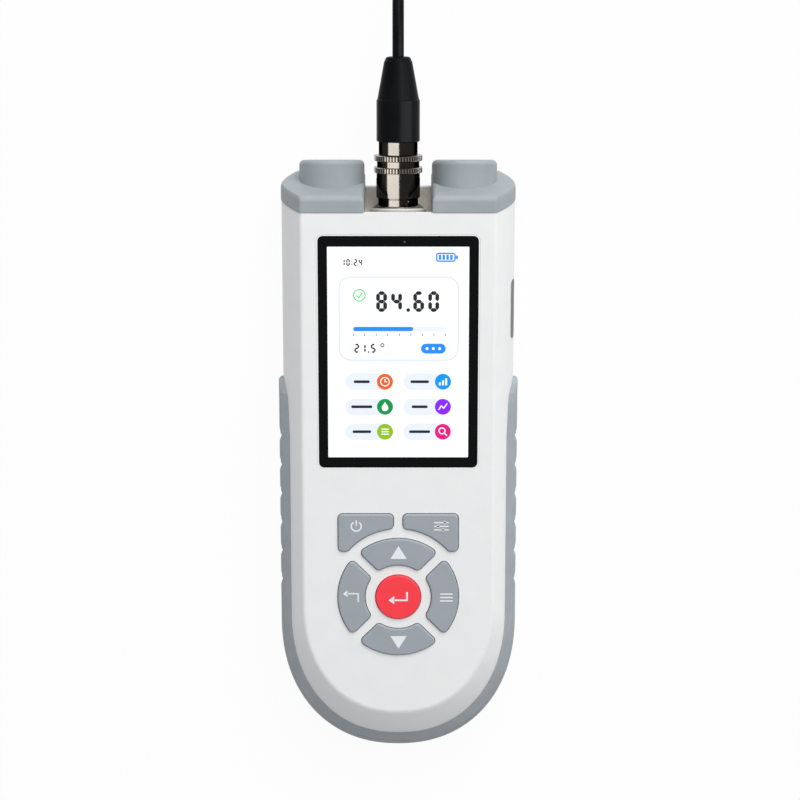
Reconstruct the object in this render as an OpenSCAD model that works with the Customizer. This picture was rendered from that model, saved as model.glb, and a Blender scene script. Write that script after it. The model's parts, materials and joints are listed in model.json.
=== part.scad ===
// Portable water quality analyzer: a hand-held meter that lies on its back, with a
// bayonet plug, its lead and a conductivity probe.
// X runs across the case, Y along it towards the sockets, Z out of the display.

/* [Case] */
// Distance from a side socket's collar to the side of the case
case_side = 7.95; // [7.5:0.05:12]
// Distance from the middle of the key ring to the round end
case_end = 59.1; // [54:0.1:80]
// Thickness of the case
case_t = 32; // [31:0.5:38]
// Wall thickness of both shells
wall = 2.2; // [1.8:0.1:2.6]
// How far the front face is set in from the side
face_side_inset = 7.2; // [4:0.1:8]
// How far the front face is set in from the round end
face_end_inset = 16; // [8:0.5:18]
// How far the back face is set in from the side
back_side_inset = 6; // [3:0.5:8]
// How far the back face is set in from the round end
back_end_inset = 9; // [5:0.5:12]
// Length of the round end at its widest
end_l = 48.4; // [42:0.2:56]
// Length of the round end on the front face
end_face_l = 40.5; // [34:0.5:46]
// Slope of the socket end, in degrees
top_slope = 11; // [8:0.5:13]
// Height of the parting plane between the shells
split_z = 16; // [15:0.5:18]

/* [Bumper] */
// How far the bumper stands proud of the case
bumper_t = 1.6; // [1:0.1:2.5]
// Distance of the bumper's front edge below the front face
bumper_front = 7.5; // [6:0.5:9]
// Distance of the bumper's rear edge above the back
bumper_back = 7.5; // [6:0.5:9]
// Distance from the front top edge to the bumper's upper tip
bumper_start = 60; // [50:0.5:70]
// Number of grip notches on each side
notch_count = 6; // [3:1:7]
// Spacing of the grip notches
notch_pitch = 10.6; // [9:0.2:12]
// Distance from the front top edge to the first notch
notch_start = 81; // [78:0.5:90]
// Depth of a grip notch
notch_d = 1.1; // [0.6:0.1:1.3]

/* [Display] */
// Width of the display window
window_w = 55.5; // [52:0.1:58]
// Length of the display window
window_l = 81.7; // [79:0.1:84]
// Thickness of the display window
window_t = 1.3; // [1:0.1:1.4]
// Corner radius of the display window
window_r = 1.8; // [1:0.1:3]
// Distance from the front top edge to the window
window_top = 7.8; // [7:0.1:9]
// Width of the dark border beside the lit area
border_side = 3.25; // [2.5:0.05:5]
// Width of the dark border above and below the lit area
border_end = 3.7; // [3:0.1:5]
// Thickness of the display module
module_t = 2.6; // [2:0.1:3.4]

/* [Keys] */
// Distance from the window to the two upper keys
keys_below = 16.7; // [16:0.1:22]
// Distance from the top of the two upper keys to the centre of the key ring
ring_below = 30.4; // [30:0.1:32]
// Outer radius of the ring of four keys
ring_r = 21.4; // [20:0.1:23]
// Inner radius of the ring of four keys
ring_hole_r = 11.8; // [11:0.1:12.5]
// Width of the diagonal channels between the ring keys
channel_w = 3.6; // [3:0.1:4.4]
// Radius of the round enter key
enter_r = 8; // [7:0.05:9]
// Outer corner radius of the keys
key_round = 1.6; // [0.8:0.1:2]
// Height of the key tops above the front face
key_proud = 1; // [0.6:0.1:1.4]
// Travel of a key
key_travel = 0.8; // [0.4:0.1:1]
// Gap round each key in its opening
key_gap = 0.25; // [0.2:0.05:0.45]
// Half width from the middle to the outer side of the two upper keys
pair_out = 21.2; // [19:0.1:23]
// Half of the gap between the two upper keys
pair_in = 1.7; // [1.5:0.1:2.5]
// Length of the two upper keys
pair_l = 13.6; // [12:0.1:14.5]
// Radius of the hollow lower edge of the two upper keys
pair_hollow_r = 23.3; // [23:0.1:24]
// Height of the hollow edge's centre above the centre of the key ring
hollow_up = 1.8; // [1.6:0.1:2.4]

/* [Socket end] */
// Offset of the two side sockets from the middle
socket_x = 23.2; // [23.2:0.1:24]
// Thickness of the connector panel
panel_t = 3; // [2.4:0.1:3.6]
// Width of the lip of shell round the connector panel
panel_lip = 1.5; // [0.9:0.1:1.7]
// Slope of the panel's pocket between the two socket covers, in degrees
pocket_slope = 21; // [19:0.5:22]
// Radius of the socket collars
collar_r = 9.65; // [9:0.05:9.8]
// Thickness of the socket collars
collar_t = 5.2; // [4.6:0.1:5.4]
// Slant of a collar's top towards the back, in degrees
collar_slant = 6; // [0:0.5:7]
// Radius of the socket barrel
barrel_r = 4.8; // [4.6:0.05:5]
// Length of the socket barrel above its collar
barrel_l = 10.6; // [9:0.1:11]
// Half of the recess between the two socket covers
recess_half = 11.7; // [11:0.1:12]
// Height of the cover slab above the panel
cover_h = 5.9; // [5:0.1:7]
// How far the covers stand proud of the case
cover_proud = 0.2; // [0.1:0.05:0.5]
// Radius of a cover boss at its base
boss_r = 11.5; // [11.2:0.1:11.5]
// Height of a cover boss above the front top edge
boss_h = 17.4; // [16.5:0.1:19]
// Slant of a boss's end towards the back, in degrees
boss_slant = 5.5; // [0:0.5:7]
// Edge radius of a cover boss
boss_round = 1.8; // [1:0.1:3]

/* [Plug] */
// Radius of the coupling sleeve
sleeve_r = 7.55; // [7.4:0.05:8]
// Radius of the sleeve's open rim
rim_r = 6.95; // [6.8:0.05:7.3]
// Radius of the knurled rings
knurl_r = 8.4; // [8:0.05:9]
// Number of teeth on a knurled ring
knurl_count = 40; // [24:4:48]
// Radius of the plug's neck
neck_r = 6.75; // [6:0.05:7.4]
// Radius of the strain relief's straight part
boot_r = 7.5; // [7.2:0.05:8]
// Radius of the strain relief's narrow end
boot_tip_r = 4.55; // [3.5:0.05:5.5]
// Radius of the lead
cord_r = 2; // [1.6:0.1:2.4]

/* [Probe] */
// Radius of the probe shaft
shaft_r = 6; // [5:0.1:7]
// Length of the probe shaft
shaft_l = 70; // [50:1:75]
// Radius of the probe's head and guard
head_r = 6.5; // [6.2:0.1:7.5]
// Length of the probe's head
head_l = 22; // [16:1:26]
// Length of the probe's guard
guard_l = 22; // [16:1:26]
// Length of the probe's strain relief
probe_boot_l = 16; // [12:1:20]

/* [Inside] */
// Thickness of the main board
board_t = 1.6; // [1:0.1:2]
// Width of the main board
board_w = 55; // [50:0.5:55]
// Distance from the board to the round end
board_end = 37.7; // [34:0.1:50]
// Width of the battery pack
battery_w = 48; // [30:1:50]
// Length of the battery pack
battery_l = 70; // [50:1:72]
// Thickness of the battery pack
battery_t = 8.5; // [5:0.5:9]
// Length of the charging port cover
port_l = 20.6; // [16:0.2:24]
// Height of the charging port cover
port_h = 5; // [4.6:0.1:5.2]
// Distance from the front top edge to the middle of the charging port
port_at = 35.1; // [30:0.1:44]

/* [Hidden] */

$fn = 64;
// A hair of thickness or overlap for joined solids
eps = 0.01;
// Clearance between pieces that are fitted and stay still
fit = 0.1;
// Gap under a piece that rests on another
seat = 0.02;
// Running clearance of pieces that move
run = 0.3;

// Distances from the front top edge to the window's lower end, the upper keys and the ring
window_end = window_top + window_l;
pair_top = window_end + keys_below;
ring_at = pair_top + ring_below;
// Width and length of the case without its bumper
case_w = 2 * (socket_x + collar_r + case_side);
case_l = ring_at + case_end;
// Place of the front top edge: the bosses and the bumper end at equal distances from Y = 0
top_y = (case_l + bumper_t - boss_h) / 2;
face_z = case_t;
roof_z = case_t - wall;
// Powers of the curved sides and of the round end's outline
curve_pow = 1.65;
round_pow = 2.2;
// Steps of the round end, levels of a shell's curved side
round_steps = 22;
shell_levels = 5;
// Length that the plain forms run past the front top edge before they are cut
over_top = 14;

// How much of the inset is left at a share of the way from the face to the parting plane
function ease(u) = pow(max(0, 1 - u), curve_pow);
function share(z) = z >= split_z ? (face_z - z) / (face_z - split_z) : z / split_z;
function side_inset(z) = ease(share(z)) * (z >= split_z ? face_side_inset : back_side_inset);
function end_inset(z) = ease(share(z)) * (z >= split_z ? face_end_inset : back_end_inset);
function half_at(z) = case_w / 2 - side_inset(z);
function end_at(z) = top_y - case_l + end_inset(z);
function round_at(z) = end_l - (z >= split_z ? end_l - end_face_l : 0) * ease(share(z));
function top_at(z) = top_y + (face_z - z) * tan(top_slope);

// Plan outline of the case at a height, grown sideways by g and at the round end by ge
function plan(z, g, ge, top) =
    let (a = half_at(z) + g, low = end_at(z) - ge, b = round_at(z) + (g < 0 ? g : 0))
    concat([[-a, top]],
           [for (i = [0:round_steps])
               let (w = 180 + 180 * i / round_steps, c = cos(w), s = abs(sin(w)))
               [a * sign(c) * pow(abs(c), 2 / round_pow), low + b - b * pow(s, 2 / round_pow)]],
           [[a, top]]);

// Outline of the case across X and Z, grown by g, from z0 to z1
function section_pts(g, z0, z1, n = 12) =
    concat([for (i = [0:n]) let (z = z0 + (z1 - z0) * i / n) [half_at(min(max(z, 0), case_t)) + g, z]],
           [for (i = [n:-1:0]) let (z = z0 + (z1 - z0) * i / n) [-half_at(min(max(z, 0), case_t)) - g, z]]);

// Outline of a rectangle with round corners, centred
function rounded(w, l, r, n = 6) =
    [for (q = [0:3], i = [0:n])
        let (t = 90 * q + 90 * i / n, sx = (q == 0 || q == 3) ? 1 : -1, sy = q < 2 ? 1 : -1)
        [sx * (w / 2 - r) + r * cos(t), sy * (l / 2 - r) + r * sin(t)]];

module slab(pts, z, h = eps) {
    translate([0, 0, z]) linear_extrude(h) polygon(pts);
}
// Places children at x, y, z with their Z axis along +Y
module on_y(x, y, z) {
    translate([x, y, z]) rotate([-90, 0, 0]) children();
}
// Extrudes an XZ outline along Y from y for a length l
module along_y(y, l) {
    translate([0, y + l, 0]) rotate([90, 0, 0]) linear_extrude(l) children();
}
// Extrudes a YZ outline along X from x for a length l
module along_x(x, l) {
    translate([x, 0, 0]) rotate([90, 0, 90]) linear_extrude(l) children();
}
// Everything beyond the sloped end plane, shifted by s along Y
module beyond_end(s) {
    translate([0, top_y + s, face_z]) rotate([top_slope, 0, 0])
        translate([-case_w, 0, -2 * case_t]) cube([2 * case_w, 80, 3 * case_t]);
}
// Everything on the case side of the sloped end plane, shifted by s
module before_end(s) {
    translate([0, top_y + s, face_z]) rotate([top_slope, 0, 0])
        translate([-case_w, -80, -2 * case_t]) cube([2 * case_w, 80, 3 * case_t]);
}
// Solid outer form of a shell between the heights z0 and z1, grown by g
module shell_form(z0, z1, g = 0) {
    hull() for (i = [0:shell_levels]) {
        z = z0 + (z1 - z0) * i / shell_levels;
        slab(plan(z, g, g, top_y + over_top), min(z, z1 - eps));
    }
}
// Where the two shells end at the parting plane
front_z0 = split_z + fit / 2;
rear_z1 = split_z - fit / 2;
module front_form(g = 0) shell_form(front_z0, face_z, g);
module rear_form(g = 0) shell_form(0, rear_z1, g);

// Shells: their walls are thicker on the curved sides than on the flat faces
cavity_side = wall + 0.3;
cavity_end = wall + 1.3;
// Screws: distances from the middle and from the front top edge
screw_x = case_w / 2 - 9.8;
end_screw_x = case_w / 2 - 16.8;
screw_spots = [[-screw_x, 12], [screw_x, 12], [-screw_x, window_end + 7.5], [screw_x, window_end + 7.5],
               [-end_screw_x, case_l - 30.7], [end_screw_x, case_l - 30.7]];
boss_post_r = 3;
screw_r = 1.25;
screw_head_r = 2.6;
screw_head_h = 1.6;
head_pocket = 2.4;
// Depth that a post reaches into the wall it stands on
root = 0.4;
// Posts that carry the board
post_x = board_w / 2 - 3.5;
rear_post_x = board_w / 2 - 2.5;
front_post_spots = [[-post_x, window_end + 10.5], [post_x, window_end + 10.5],
                    [-post_x, case_l - 43.7], [post_x, case_l - 43.7]];
rear_post_spots = [[-rear_post_x, port_at + 4.9], [rear_post_x, port_at + 9.9],
                   [-rear_post_x, case_l - 47.7], [rear_post_x, case_l - 47.7]];
post_r = 2;
// Ribs round the battery: thickness, distance of the side ribs from its corners
rib_t = 1.6;
rib_in = 8;
// Label recess in the back
label_w = 50;
label_l = 34;
label_at = case_l - 67.7;
label_deep = 0.35;
gasket_in = 1;
gasket_w = 0.9;
gasket_h = 0.6;

// Board: depth below the front face, start from the front top edge
board_depth = 11.2;
board_z = case_t - board_depth;
board_top = board_z + board_t;
board_start = 14.5;

// Window and display module
window_gap = 0.2;
view_margin = 0.8;
window_z = face_z - window_t - fit / 2;
window_mid = top_y - window_top - window_l / 2;
lit_w = window_w - 2 * border_side;
lit_l = window_l - 2 * border_end;
// The module is a little narrower and longer than the window
module_w = window_w - 0.9;
module_l = window_l + 0.7;
module_z = roof_z - fit - module_t;

// The gasket follows both sides and the round end, and stops short of the sockets
gasket_stop = 8;
module gasket_ring(clear) {
    outer = -gasket_in + clear;
    inner = -gasket_in - gasket_w - clear;
    difference() {
        slab(plan(split_z, outer, outer, top_y - gasket_stop), split_z - gasket_h / 2 - clear,
             gasket_h + 2 * clear);
        slab(plan(split_z, inner, inner, top_y), split_z - gasket_h, 2 * gasket_h);
    }
}

// Charging port in the right side: the socket hangs under the board
port_y = top_y - port_at;
port_socket_w = 9;
port_socket_h = 3.2;
port_z = board_z - seat - port_socket_h / 2;
port_deep = 1.7;
port_corner = 1.8;
// Outline of the port's cover on the side, from x0 to x1
module port_block(grow, x0, x1) {
    translate([x0, port_y, port_z]) rotate([90, 0, 90]) linear_extrude(x1 - x0)
        polygon(rounded(port_l + 2 * grow, port_h + 2 * grow, port_corner + grow));
}
module port_slot() {
    translate([case_w / 2 - 8, port_y - port_socket_w / 2 - 5 * fit, port_z - port_socket_h / 2 - fit])
        cube([10, port_socket_w + 10 * fit, port_socket_h + 2 * fit]);
}

module front_shell() {
    color([0.93, 0.93, 0.93]) difference() {
        union() {
            difference() {
                front_form();
                hull() for (i = [0:shell_levels]) {
                    z = split_z - 1 + (roof_z - split_z + 1) * i / shell_levels;
                    zz = min(max(z, split_z), roof_z);
                    slab(plan(zz, -cavity_side, -cavity_end, top_y + over_top), min(z, roof_z - eps));
                }
            }
            for (p = screw_spots) translate([p[0], top_y - p[1], front_z0])
                cylinder(h = roof_z - split_z + root, r = boss_post_r);
            for (p = front_post_spots) translate([p[0], top_y - p[1], board_top + fit / 2])
                cylinder(h = roof_z - board_top + root, r = post_r);
        }
        beyond_end(0);
        intersection() {
            along_y(top_y - 20, 40) polygon(section_pts(-panel_lip, split_z - 1, face_z - panel_lip));
            beyond_end(panel_low - panel_t);
        }
        translate([0, window_mid, window_z - fit / 2]) linear_extrude(window_t + 1)
            polygon(rounded(window_w + 2 * window_gap, window_l + 2 * window_gap, window_r + window_gap));
        translate([0, window_mid, roof_z - 1]) linear_extrude(window_t + 2)
            polygon(rounded(lit_w + 2 * view_margin, lit_l + 2 * view_margin, 1));
        for (k = key_names) translate([0, 0, roof_z - 1]) linear_extrude(wall + 3) key_2d(k, key_gap);
        for (p = screw_spots) translate([p[0], top_y - p[1], split_z - 1])
            cylinder(h = roof_z - split_z, r = screw_r + fit / 2);
        gasket_ring(fit / 2);
        port_block(2 * fit, case_w / 2 - port_deep, case_w / 2 + 4);
        port_slot();
    }
}

module rear_shell() {
    color([0.9, 0.9, 0.9]) difference() {
        union() {
            difference() {
                rear_form();
                hull() for (i = [0:shell_levels]) {
                    z = wall + (split_z - wall + 1) * i / shell_levels;
                    slab(plan(min(z, split_z - eps), -cavity_side, -cavity_side, top_y + over_top), z);
                }
            }
            for (p = screw_spots) translate([p[0], top_y - p[1], wall - root])
                cylinder(h = rear_z1 - wall + root, r = boss_post_r + root);
            for (p = rear_post_spots) translate([p[0], top_y - p[1], wall - root])
                cylinder(h = board_z - fit / 2 - wall + root, r = post_r);
            for (x = [-battery_w / 2 - fit - rib_t, battery_w / 2 + fit])
                translate([x, battery_y + rib_in, wall - root])
                    cube([rib_t, battery_l - 2 * rib_in, 0.7 * battery_t]);
            for (y = [battery_y - rib_t - fit, battery_y + battery_l + fit])
                translate([-battery_w / 4, y, wall - root]) cube([battery_w / 2, rib_t, 0.5 * battery_t]);
        }
        beyond_end(0);
        intersection() {
            along_y(top_y - 20, 40) polygon(section_pts(-panel_lip, panel_lip, split_z + 1));
            beyond_end(panel_low - panel_t);
        }
        for (p = screw_spots) translate([p[0], top_y - p[1], 0]) {
            translate([0, 0, -1]) cylinder(h = split_z + 2, r = screw_r + run);
            translate([0, 0, -1]) cylinder(h = 1 + head_pocket, r = screw_head_r + run);
        }
        translate([0, top_y - label_at, -1]) linear_extrude(1 + label_deep)
            polygon(rounded(label_w, label_l, 3));
        gasket_ring(fit / 2);
    }
}

module shell_gasket() {
    color([0.2, 0.2, 0.2]) gasket_ring(0);
}

screw_l = 20;
module case_screws() {
    z = head_pocket - screw_head_h - seat;
    color([0.6, 0.6, 0.62]) for (p = screw_spots) translate([p[0], top_y - p[1], z])
        difference() {
            union() {
                cylinder(h = screw_head_h, r = screw_head_r);
                cylinder(h = screw_l, r = screw_r);
            }
            for (a = [0, 90]) rotate(a) translate([-1.6, -0.3, -1]) cube([3.2, 0.6, 1.8]);
        }
}

// The bumper's outer form follows the case and bulges in the middle
bumper_z0 = bumper_back;
bumper_z1 = case_t - bumper_front;
function bulge(z) = sqrt(max(0, 1 - pow((z - split_z) / ((bumper_z1 - bumper_z0) / 2 + 0.6), 2)));
// Outline of the bumper's pointed upper tips: distance below the tip, half height
tip_pts = [[0, 1.8], [2.4, 4.6], [5, 6.8], [8.5, 7.5], [20, 9], [case_l, 9],
           [case_l, -9], [20, -9], [8.5, -7.5], [5, -6.8], [2.4, -4.6], [0, -1.8]];
module side_bumper() {
    color([0.57, 0.61, 0.64]) difference() {
        hull() for (i = [0:8]) {
            z = bumper_z0 + (bumper_z1 - bumper_z0) * i / 8;
            g = bumper_t * bulge(z);
            slab(plan(z, g, g, top_y), min(z, bumper_z1 - eps));
        }
        front_form(fit / 2);
        rear_form(fit / 2);
        slab(plan(split_z, fit / 2, fit / 2, top_y + over_top), split_z - fit, 2 * fit);
        difference() {
            along_x(-case_w, 2 * case_w) translate([top_y - case_l, -2]) square([2 * case_l, case_t + 4]);
            along_x(-case_w - 1, 2 * case_w + 2)
                polygon([for (p = tip_pts) [top_y - bumper_start - p[0], split_z + p[1]]]);
        }
        for (s = [-1, 1], i = [0:notch_count - 1]) scale([s, 1, 1])
            translate([case_w / 2 + bumper_t, top_y - notch_start - i * notch_pitch, 0])
                linear_extrude(case_t) polygon([[0.5, 4], [-notch_d, 0], [0.5, -2.6]]);
    }
}

// Connector panel and sockets: how far the panel lies below the sloped end plane
panel_low = -4 * fit;
// The side sockets lie close to the back wall, the middle one close to the front wall
collar_room = 0.65;
side_z = wall + collar_r + 2 * fit;
middle_z = roof_z - collar_r - collar_room;
spots = [[-socket_x, side_z], [0, middle_z], [socket_x, side_z]];
// Height of a collar's top above the front top edge: the side sockets follow the sloped end
middle_s = 0.2;
function collar_s(i) = i == 1 ? middle_s : (face_z - spots[i][1]) * tan(top_slope) - 1;
// Round pads behind the panel that carry the side sockets, and a square one behind the middle socket
pad_r = collar_r + 1.5;
pad_s = 7.4;
pad_wall = 1.3;
// Height above the back at which the pocket runs out into the panel
pocket_z = 1.5;
// Everything above the pocket's sloped floor
module beyond_pocket() {
    translate([-recess_half, top_y + (face_z - pocket_z) * tan(top_slope) + panel_low, pocket_z])
        rotate([pocket_slope, 0, 0]) cube([2 * recess_half, 40, 2 * case_t]);
}

module connector_panel() {
    color([0.56, 0.55, 0.52]) difference() {
        union() {
            intersection() {
                along_y(top_y - 20, 40)
                    polygon(section_pts(-panel_lip - fit, panel_lip + fit, face_z - panel_lip - fit));
                beyond_end(panel_low - panel_t);
            }
            intersection() {
                union() {
                    for (i = [0, 2]) on_y(spots[i][0], top_y + collar_s(i) - pad_s, spots[i][1])
                        cylinder(h = pad_s + 2, r = pad_r);
                    translate([-recess_half - pad_wall, top_y + collar_s(1) - pad_s, spots[1][1] - pad_r])
                        cube([2 * (recess_half + pad_wall), pad_s + 2, case_t]);
                }
                along_y(top_y - 20, 40) polygon(section_pts(-cavity_side - fit, wall + fit, roof_z - fit));
            }
        }
        beyond_end(panel_low);
        beyond_pocket();
        for (i = [0:2]) on_y(spots[i][0], top_y + collar_s(i) - collar_t - fit / 2, spots[i][1]) {
            cylinder(h = 20, r = collar_r + fit);
            translate([0, 0, -10]) cylinder(h = 20, r = barrel_r + fit);
        }
    }
}

// How far a collar's front edge stands above its middle
collar_rise = collar_r * tan(collar_slant);
module socket_collars() {
    color([0.83, 0.83, 0.81]) for (i = [0:2]) on_y(spots[i][0], top_y + collar_s(i) - collar_t, spots[i][1])
        difference() {
            cylinder(h = collar_t + collar_rise, r = collar_r);
            translate([0, 0, collar_t]) rotate([-collar_slant, 0, 0])
                translate([-2 * collar_r, -2 * collar_r, 0]) cube([4 * collar_r, 4 * collar_r, 4 * collar_r]);
            translate([0, 0, -1]) cylinder(h = collar_t + 4, r = barrel_r + fit / 2);
        }
}

barrel_bore = 4.15;
barrel_deep = 8.4;
thread_l = 13;
// Solder tail at the socket's back
tail_l = 3;
tail_r = 1;
// Bayonet pins: radius, length, height above the collar
pin_r = 0.95;
pin_l = 1.1;
pin_s = 6;
module socket(i) {
    color([0.72, 0.69, 0.64]) on_y(spots[i][0], top_y + collar_s(i), spots[i][1]) {
        difference() {
            translate([0, 0, -thread_l]) cylinder(h = thread_l + barrel_l, r = barrel_r);
            translate([0, 0, barrel_l - barrel_deep]) cylinder(h = barrel_deep + 1, r = barrel_bore);
        }
        for (s = [-1, 1]) scale([s, 1, 1]) translate([barrel_r - 0.4, 0, pin_s]) rotate([0, 90, 0])
            cylinder(h = pin_l, r = pin_r);
        translate([0, 0, -thread_l - tail_l]) cylinder(h = tail_l + eps, r = tail_r);
    }
}
module socket_left() socket(0);
module socket_middle() socket(1);
module socket_right() socket(2);

insulator_r = 2.35;
insulator_l = 6.4;
contact_r = 0.6;
module socket_insulators() {
    color([0.95, 0.94, 0.9]) for (i = [0:2])
        on_y(spots[i][0], top_y + collar_s(i) + barrel_l - barrel_deep + seat, spots[i][1]) difference() {
            union() {
                cylinder(h = 1, r = barrel_bore - fit / 2);
                cylinder(h = insulator_l, r = insulator_r);
            }
            translate([0, 0, 1.4]) cylinder(h = insulator_l, r = contact_r + 2 * fit);
        }
}

nut_t = 2.4;
nut_r = barrel_r + 2.6;
module socket_nuts() {
    color([0.75, 0.72, 0.66]) for (i = [0:2])
        on_y(spots[i][0], top_y + collar_s(i) - pad_s - nut_t - fit, spots[i][1]) difference() {
            cylinder(h = nut_t, r = nut_r, $fn = 6);
            translate([0, 0, -1]) cylinder(h = nut_t + 2, r = barrel_r + fit / 2);
        }
}

// A wire that leaves along -Y at height z and bends up to the height top
module bent_wire(x, y, z, top, r, run_l, bend) {
    translate([x, y - run_l, z]) rotate([-90, 0, 0]) cylinder(h = run_l, r = r);
    translate([x, y - run_l, z + bend]) rotate([0, -90, 0]) rotate([0, 0, 180])
        rotate_extrude(angle = 90) translate([bend, 0]) circle(r = r, $fn = 24);
    translate([x, y - run_l - bend, z + bend]) cylinder(h = top - z - bend, r = r);
}

// The middle socket's tail is soldered to the board itself, the side ones have leads
lead_run = 2;
lead_bend = 3.5;
module socket_leads() {
    color([0.15, 0.15, 0.15]) for (i = [0, 2])
        bent_wire(spots[i][0], top_y + collar_s(i) - thread_l - tail_l - seat, spots[i][1], board_z - seat,
                  tail_r + fit, lead_run, lead_bend);
}

// Rubber cover over a side socket: a slab with the case's outline and a round boss
cover_gap = 0.2;
cover_low_z = 0.4;
// Edge rounding of the slab: share of its height, inset
cover_edge = [[0, 0], [0.7, 0], [0.86, 0.25], [0.96, 0.75], [1, 1.5]];
// Share of that inset on the curved side, where the edge is tighter
side_share = 0.4;
// One layer of the slab at a distance d beyond the end plane, set in by e
module cover_layer(s, d, e) {
    difference() {
        along_y(top_y - 6, 24) intersection() {
            polygon(section_pts(cover_proud - side_share * e, cover_low_z + e, face_z + cover_proud - e));
            translate([s > 0 ? recess_half + e : -case_w, 0])
                square([case_w - recess_half - e, case_t + 2]);
        }
        before_end(d - seat);
        beyond_end(d);
    }
}
// Boss: a straight side up to a slanted end with a round edge
boss_in = boss_r - 0.1 - boss_round;
boss_mid = boss_h - boss_round - boss_in * sin(boss_slant);
module boss(x, z) {
    hull() {
        on_y(x, top_y + cover_gap, z) cylinder(h = eps, r = boss_r, $fn = 48);
        translate([x, top_y + boss_mid, z]) rotate([-90 - boss_slant, 0, 0]) for (k = [0:5])
            translate([0, 0, boss_round * sin(18 * k) - eps])
                cylinder(h = eps, r = boss_in + boss_round * cos(18 * k), $fn = 48);
    }
}
module cover(i) {
    x = spots[i][0];
    z = spots[i][1];
    c = collar_s(i);
    color([0.6, 0.64, 0.67]) difference() {
        union() {
            hull() for (k = cover_edge)
                cover_layer(sign(x), cover_gap + (cover_h - cover_gap) * k[0], k[1]);
            difference() {
                boss(x, z);
                before_end(cover_gap);
            }
        }
        on_y(x, top_y - 4, z) cylinder(h = c + 4 + run + collar_rise, r = collar_r + run);
        on_y(x, top_y + c, z) cylinder(h = barrel_l + run, r = barrel_r + pin_l + fit);
    }
}
module socket_cover_left() cover(0);
module socket_cover_right() cover(2);

// Display
module display_window() {
    color([0.06, 0.06, 0.07]) translate([0, window_mid, window_z]) linear_extrude(window_t)
        polygon(rounded(window_w, window_l, window_r));
}
module display_module() {
    color([0.8, 0.82, 0.85]) translate([-module_w / 2, window_mid - module_l / 2, module_z])
        cube([module_w, module_l, module_t]);
}
// Flat lead that folds from the module's end down onto the board
ribbon_w = 20;
ribbon_t = 0.3;
module display_ribbon() {
    y = window_mid - module_l / 2 - seat;
    a = module_z + 1.2;
    b = board_top + fit / 2;
    color([0.8, 0.5, 0.15]) along_x(-ribbon_w / 2, ribbon_w) polygon([
        [y, a], [y - 2.2, a], [y - 3, a - 0.8], [y - 3, b + ribbon_t], [y + 4, b + ribbon_t], [y + 4, b],
        [y - 3 - ribbon_t, b], [y - 3 - ribbon_t, a - 0.7], [y - 2.3, a + ribbon_t], [y, a + ribbon_t]]);
}

// Board, with a tab for the charging socket and cut corners
board_cut = 8;
module main_board() {
    b = board_w / 2;
    y1 = top_y - board_start;
    y0 = top_y - case_l + board_end;
    tab = case_w / 2 - cavity_side - 1.8;
    color([0.1, 0.35, 0.2]) translate([0, 0, board_z]) linear_extrude(board_t) polygon([
        [-b, y1], [b, y1], [b, port_y + 6], [tab, port_y + 6], [tab, port_y - 6], [b, port_y - 6],
        [b, y0 + board_cut], [b - board_cut, y0], [board_cut - b, y0], [-b, y0 + board_cut]]);
}

// Keys: the middle of each key and of its switch
ring_y = top_y - ring_at;
ring_mid = (ring_r + ring_hole_r) / 2;
key_names = ["power", "calibrate", "up", "down", "left", "right", "enter"];
pair_spot = [pair_out / 2 + 1, top_y - pair_top - 5.2];
function key_spot(k) =
    k == "power" ? [-pair_spot[0], pair_spot[1]]
    : k == "calibrate" ? pair_spot
    : k == "up" ? [0, ring_y + ring_mid]
    : k == "down" ? [0, ring_y - ring_mid]
    : k == "left" ? [-ring_mid, ring_y]
    : k == "right" ? [ring_mid, ring_y]
    : [0, ring_y];
function key_turn(k) = k == "up" ? 90 : k == "left" ? 180 : k == "down" ? 270 : 0;

// Where the quarter of a ring key starts, so that the channels have their width
quarter_tip = channel_w / sqrt(2);
module key_2d(k, grow) {
    $fn = 72;
    if (k == "enter") translate([0, ring_y]) circle(r = enter_r + grow);
    else offset(r = key_round + grow) offset(r = -key_round) {
        if (k == "power" || k == "calibrate") {
            s = k == "power" ? -1 : 1;
            difference() {
                translate([s > 0 ? pair_in : -pair_out, top_y - pair_top - pair_l])
                    square([pair_out - pair_in, pair_l]);
                translate([0, ring_y + hollow_up]) circle(r = pair_hollow_r);
            }
        } else translate([0, ring_y]) rotate(key_turn(k)) intersection() {
            difference() {
                circle(r = ring_r);
                circle(r = ring_hole_r);
            }
            polygon([[quarter_tip, 0], [quarter_tip + 40, 40], [quarter_tip + 40, -40]]);
        }
    }
}

// Flange under each key, and the post that presses the switch
flange_w = 0.85;
flange_t = 1;
flange_z = roof_z - run - flange_t;
switch_h = 3.8;
key_post_r = 1.5;
key_post_z = board_top + switch_h - 2;
key_top = face_z + key_proud;
key_edge = 0.45;
module key(k) {
    p = key_spot(k);
    translate([0, 0, flange_z]) linear_extrude(key_top - key_edge - flange_z) key_2d(k, 0);
    translate([0, 0, key_top - key_edge - eps]) linear_extrude(key_edge + eps) key_2d(k, -key_edge);
    translate([0, 0, flange_z]) linear_extrude(flange_t) key_2d(k, flange_w);
    translate([p[0], p[1], key_post_z]) cylinder(h = flange_z - key_post_z + eps, r = key_post_r);
}
module key_power() color([0.63, 0.65, 0.67]) key("power");
module key_calibrate() color([0.63, 0.65, 0.67]) key("calibrate");
module key_up() color([0.63, 0.65, 0.67]) key("up");
module key_down() color([0.63, 0.65, 0.67]) key("down");
module key_left() color([0.63, 0.65, 0.67]) key("left");
module key_right() color([0.63, 0.65, 0.67]) key("right");
module key_enter() color([0.95, 0.25, 0.3]) key("enter");

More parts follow.
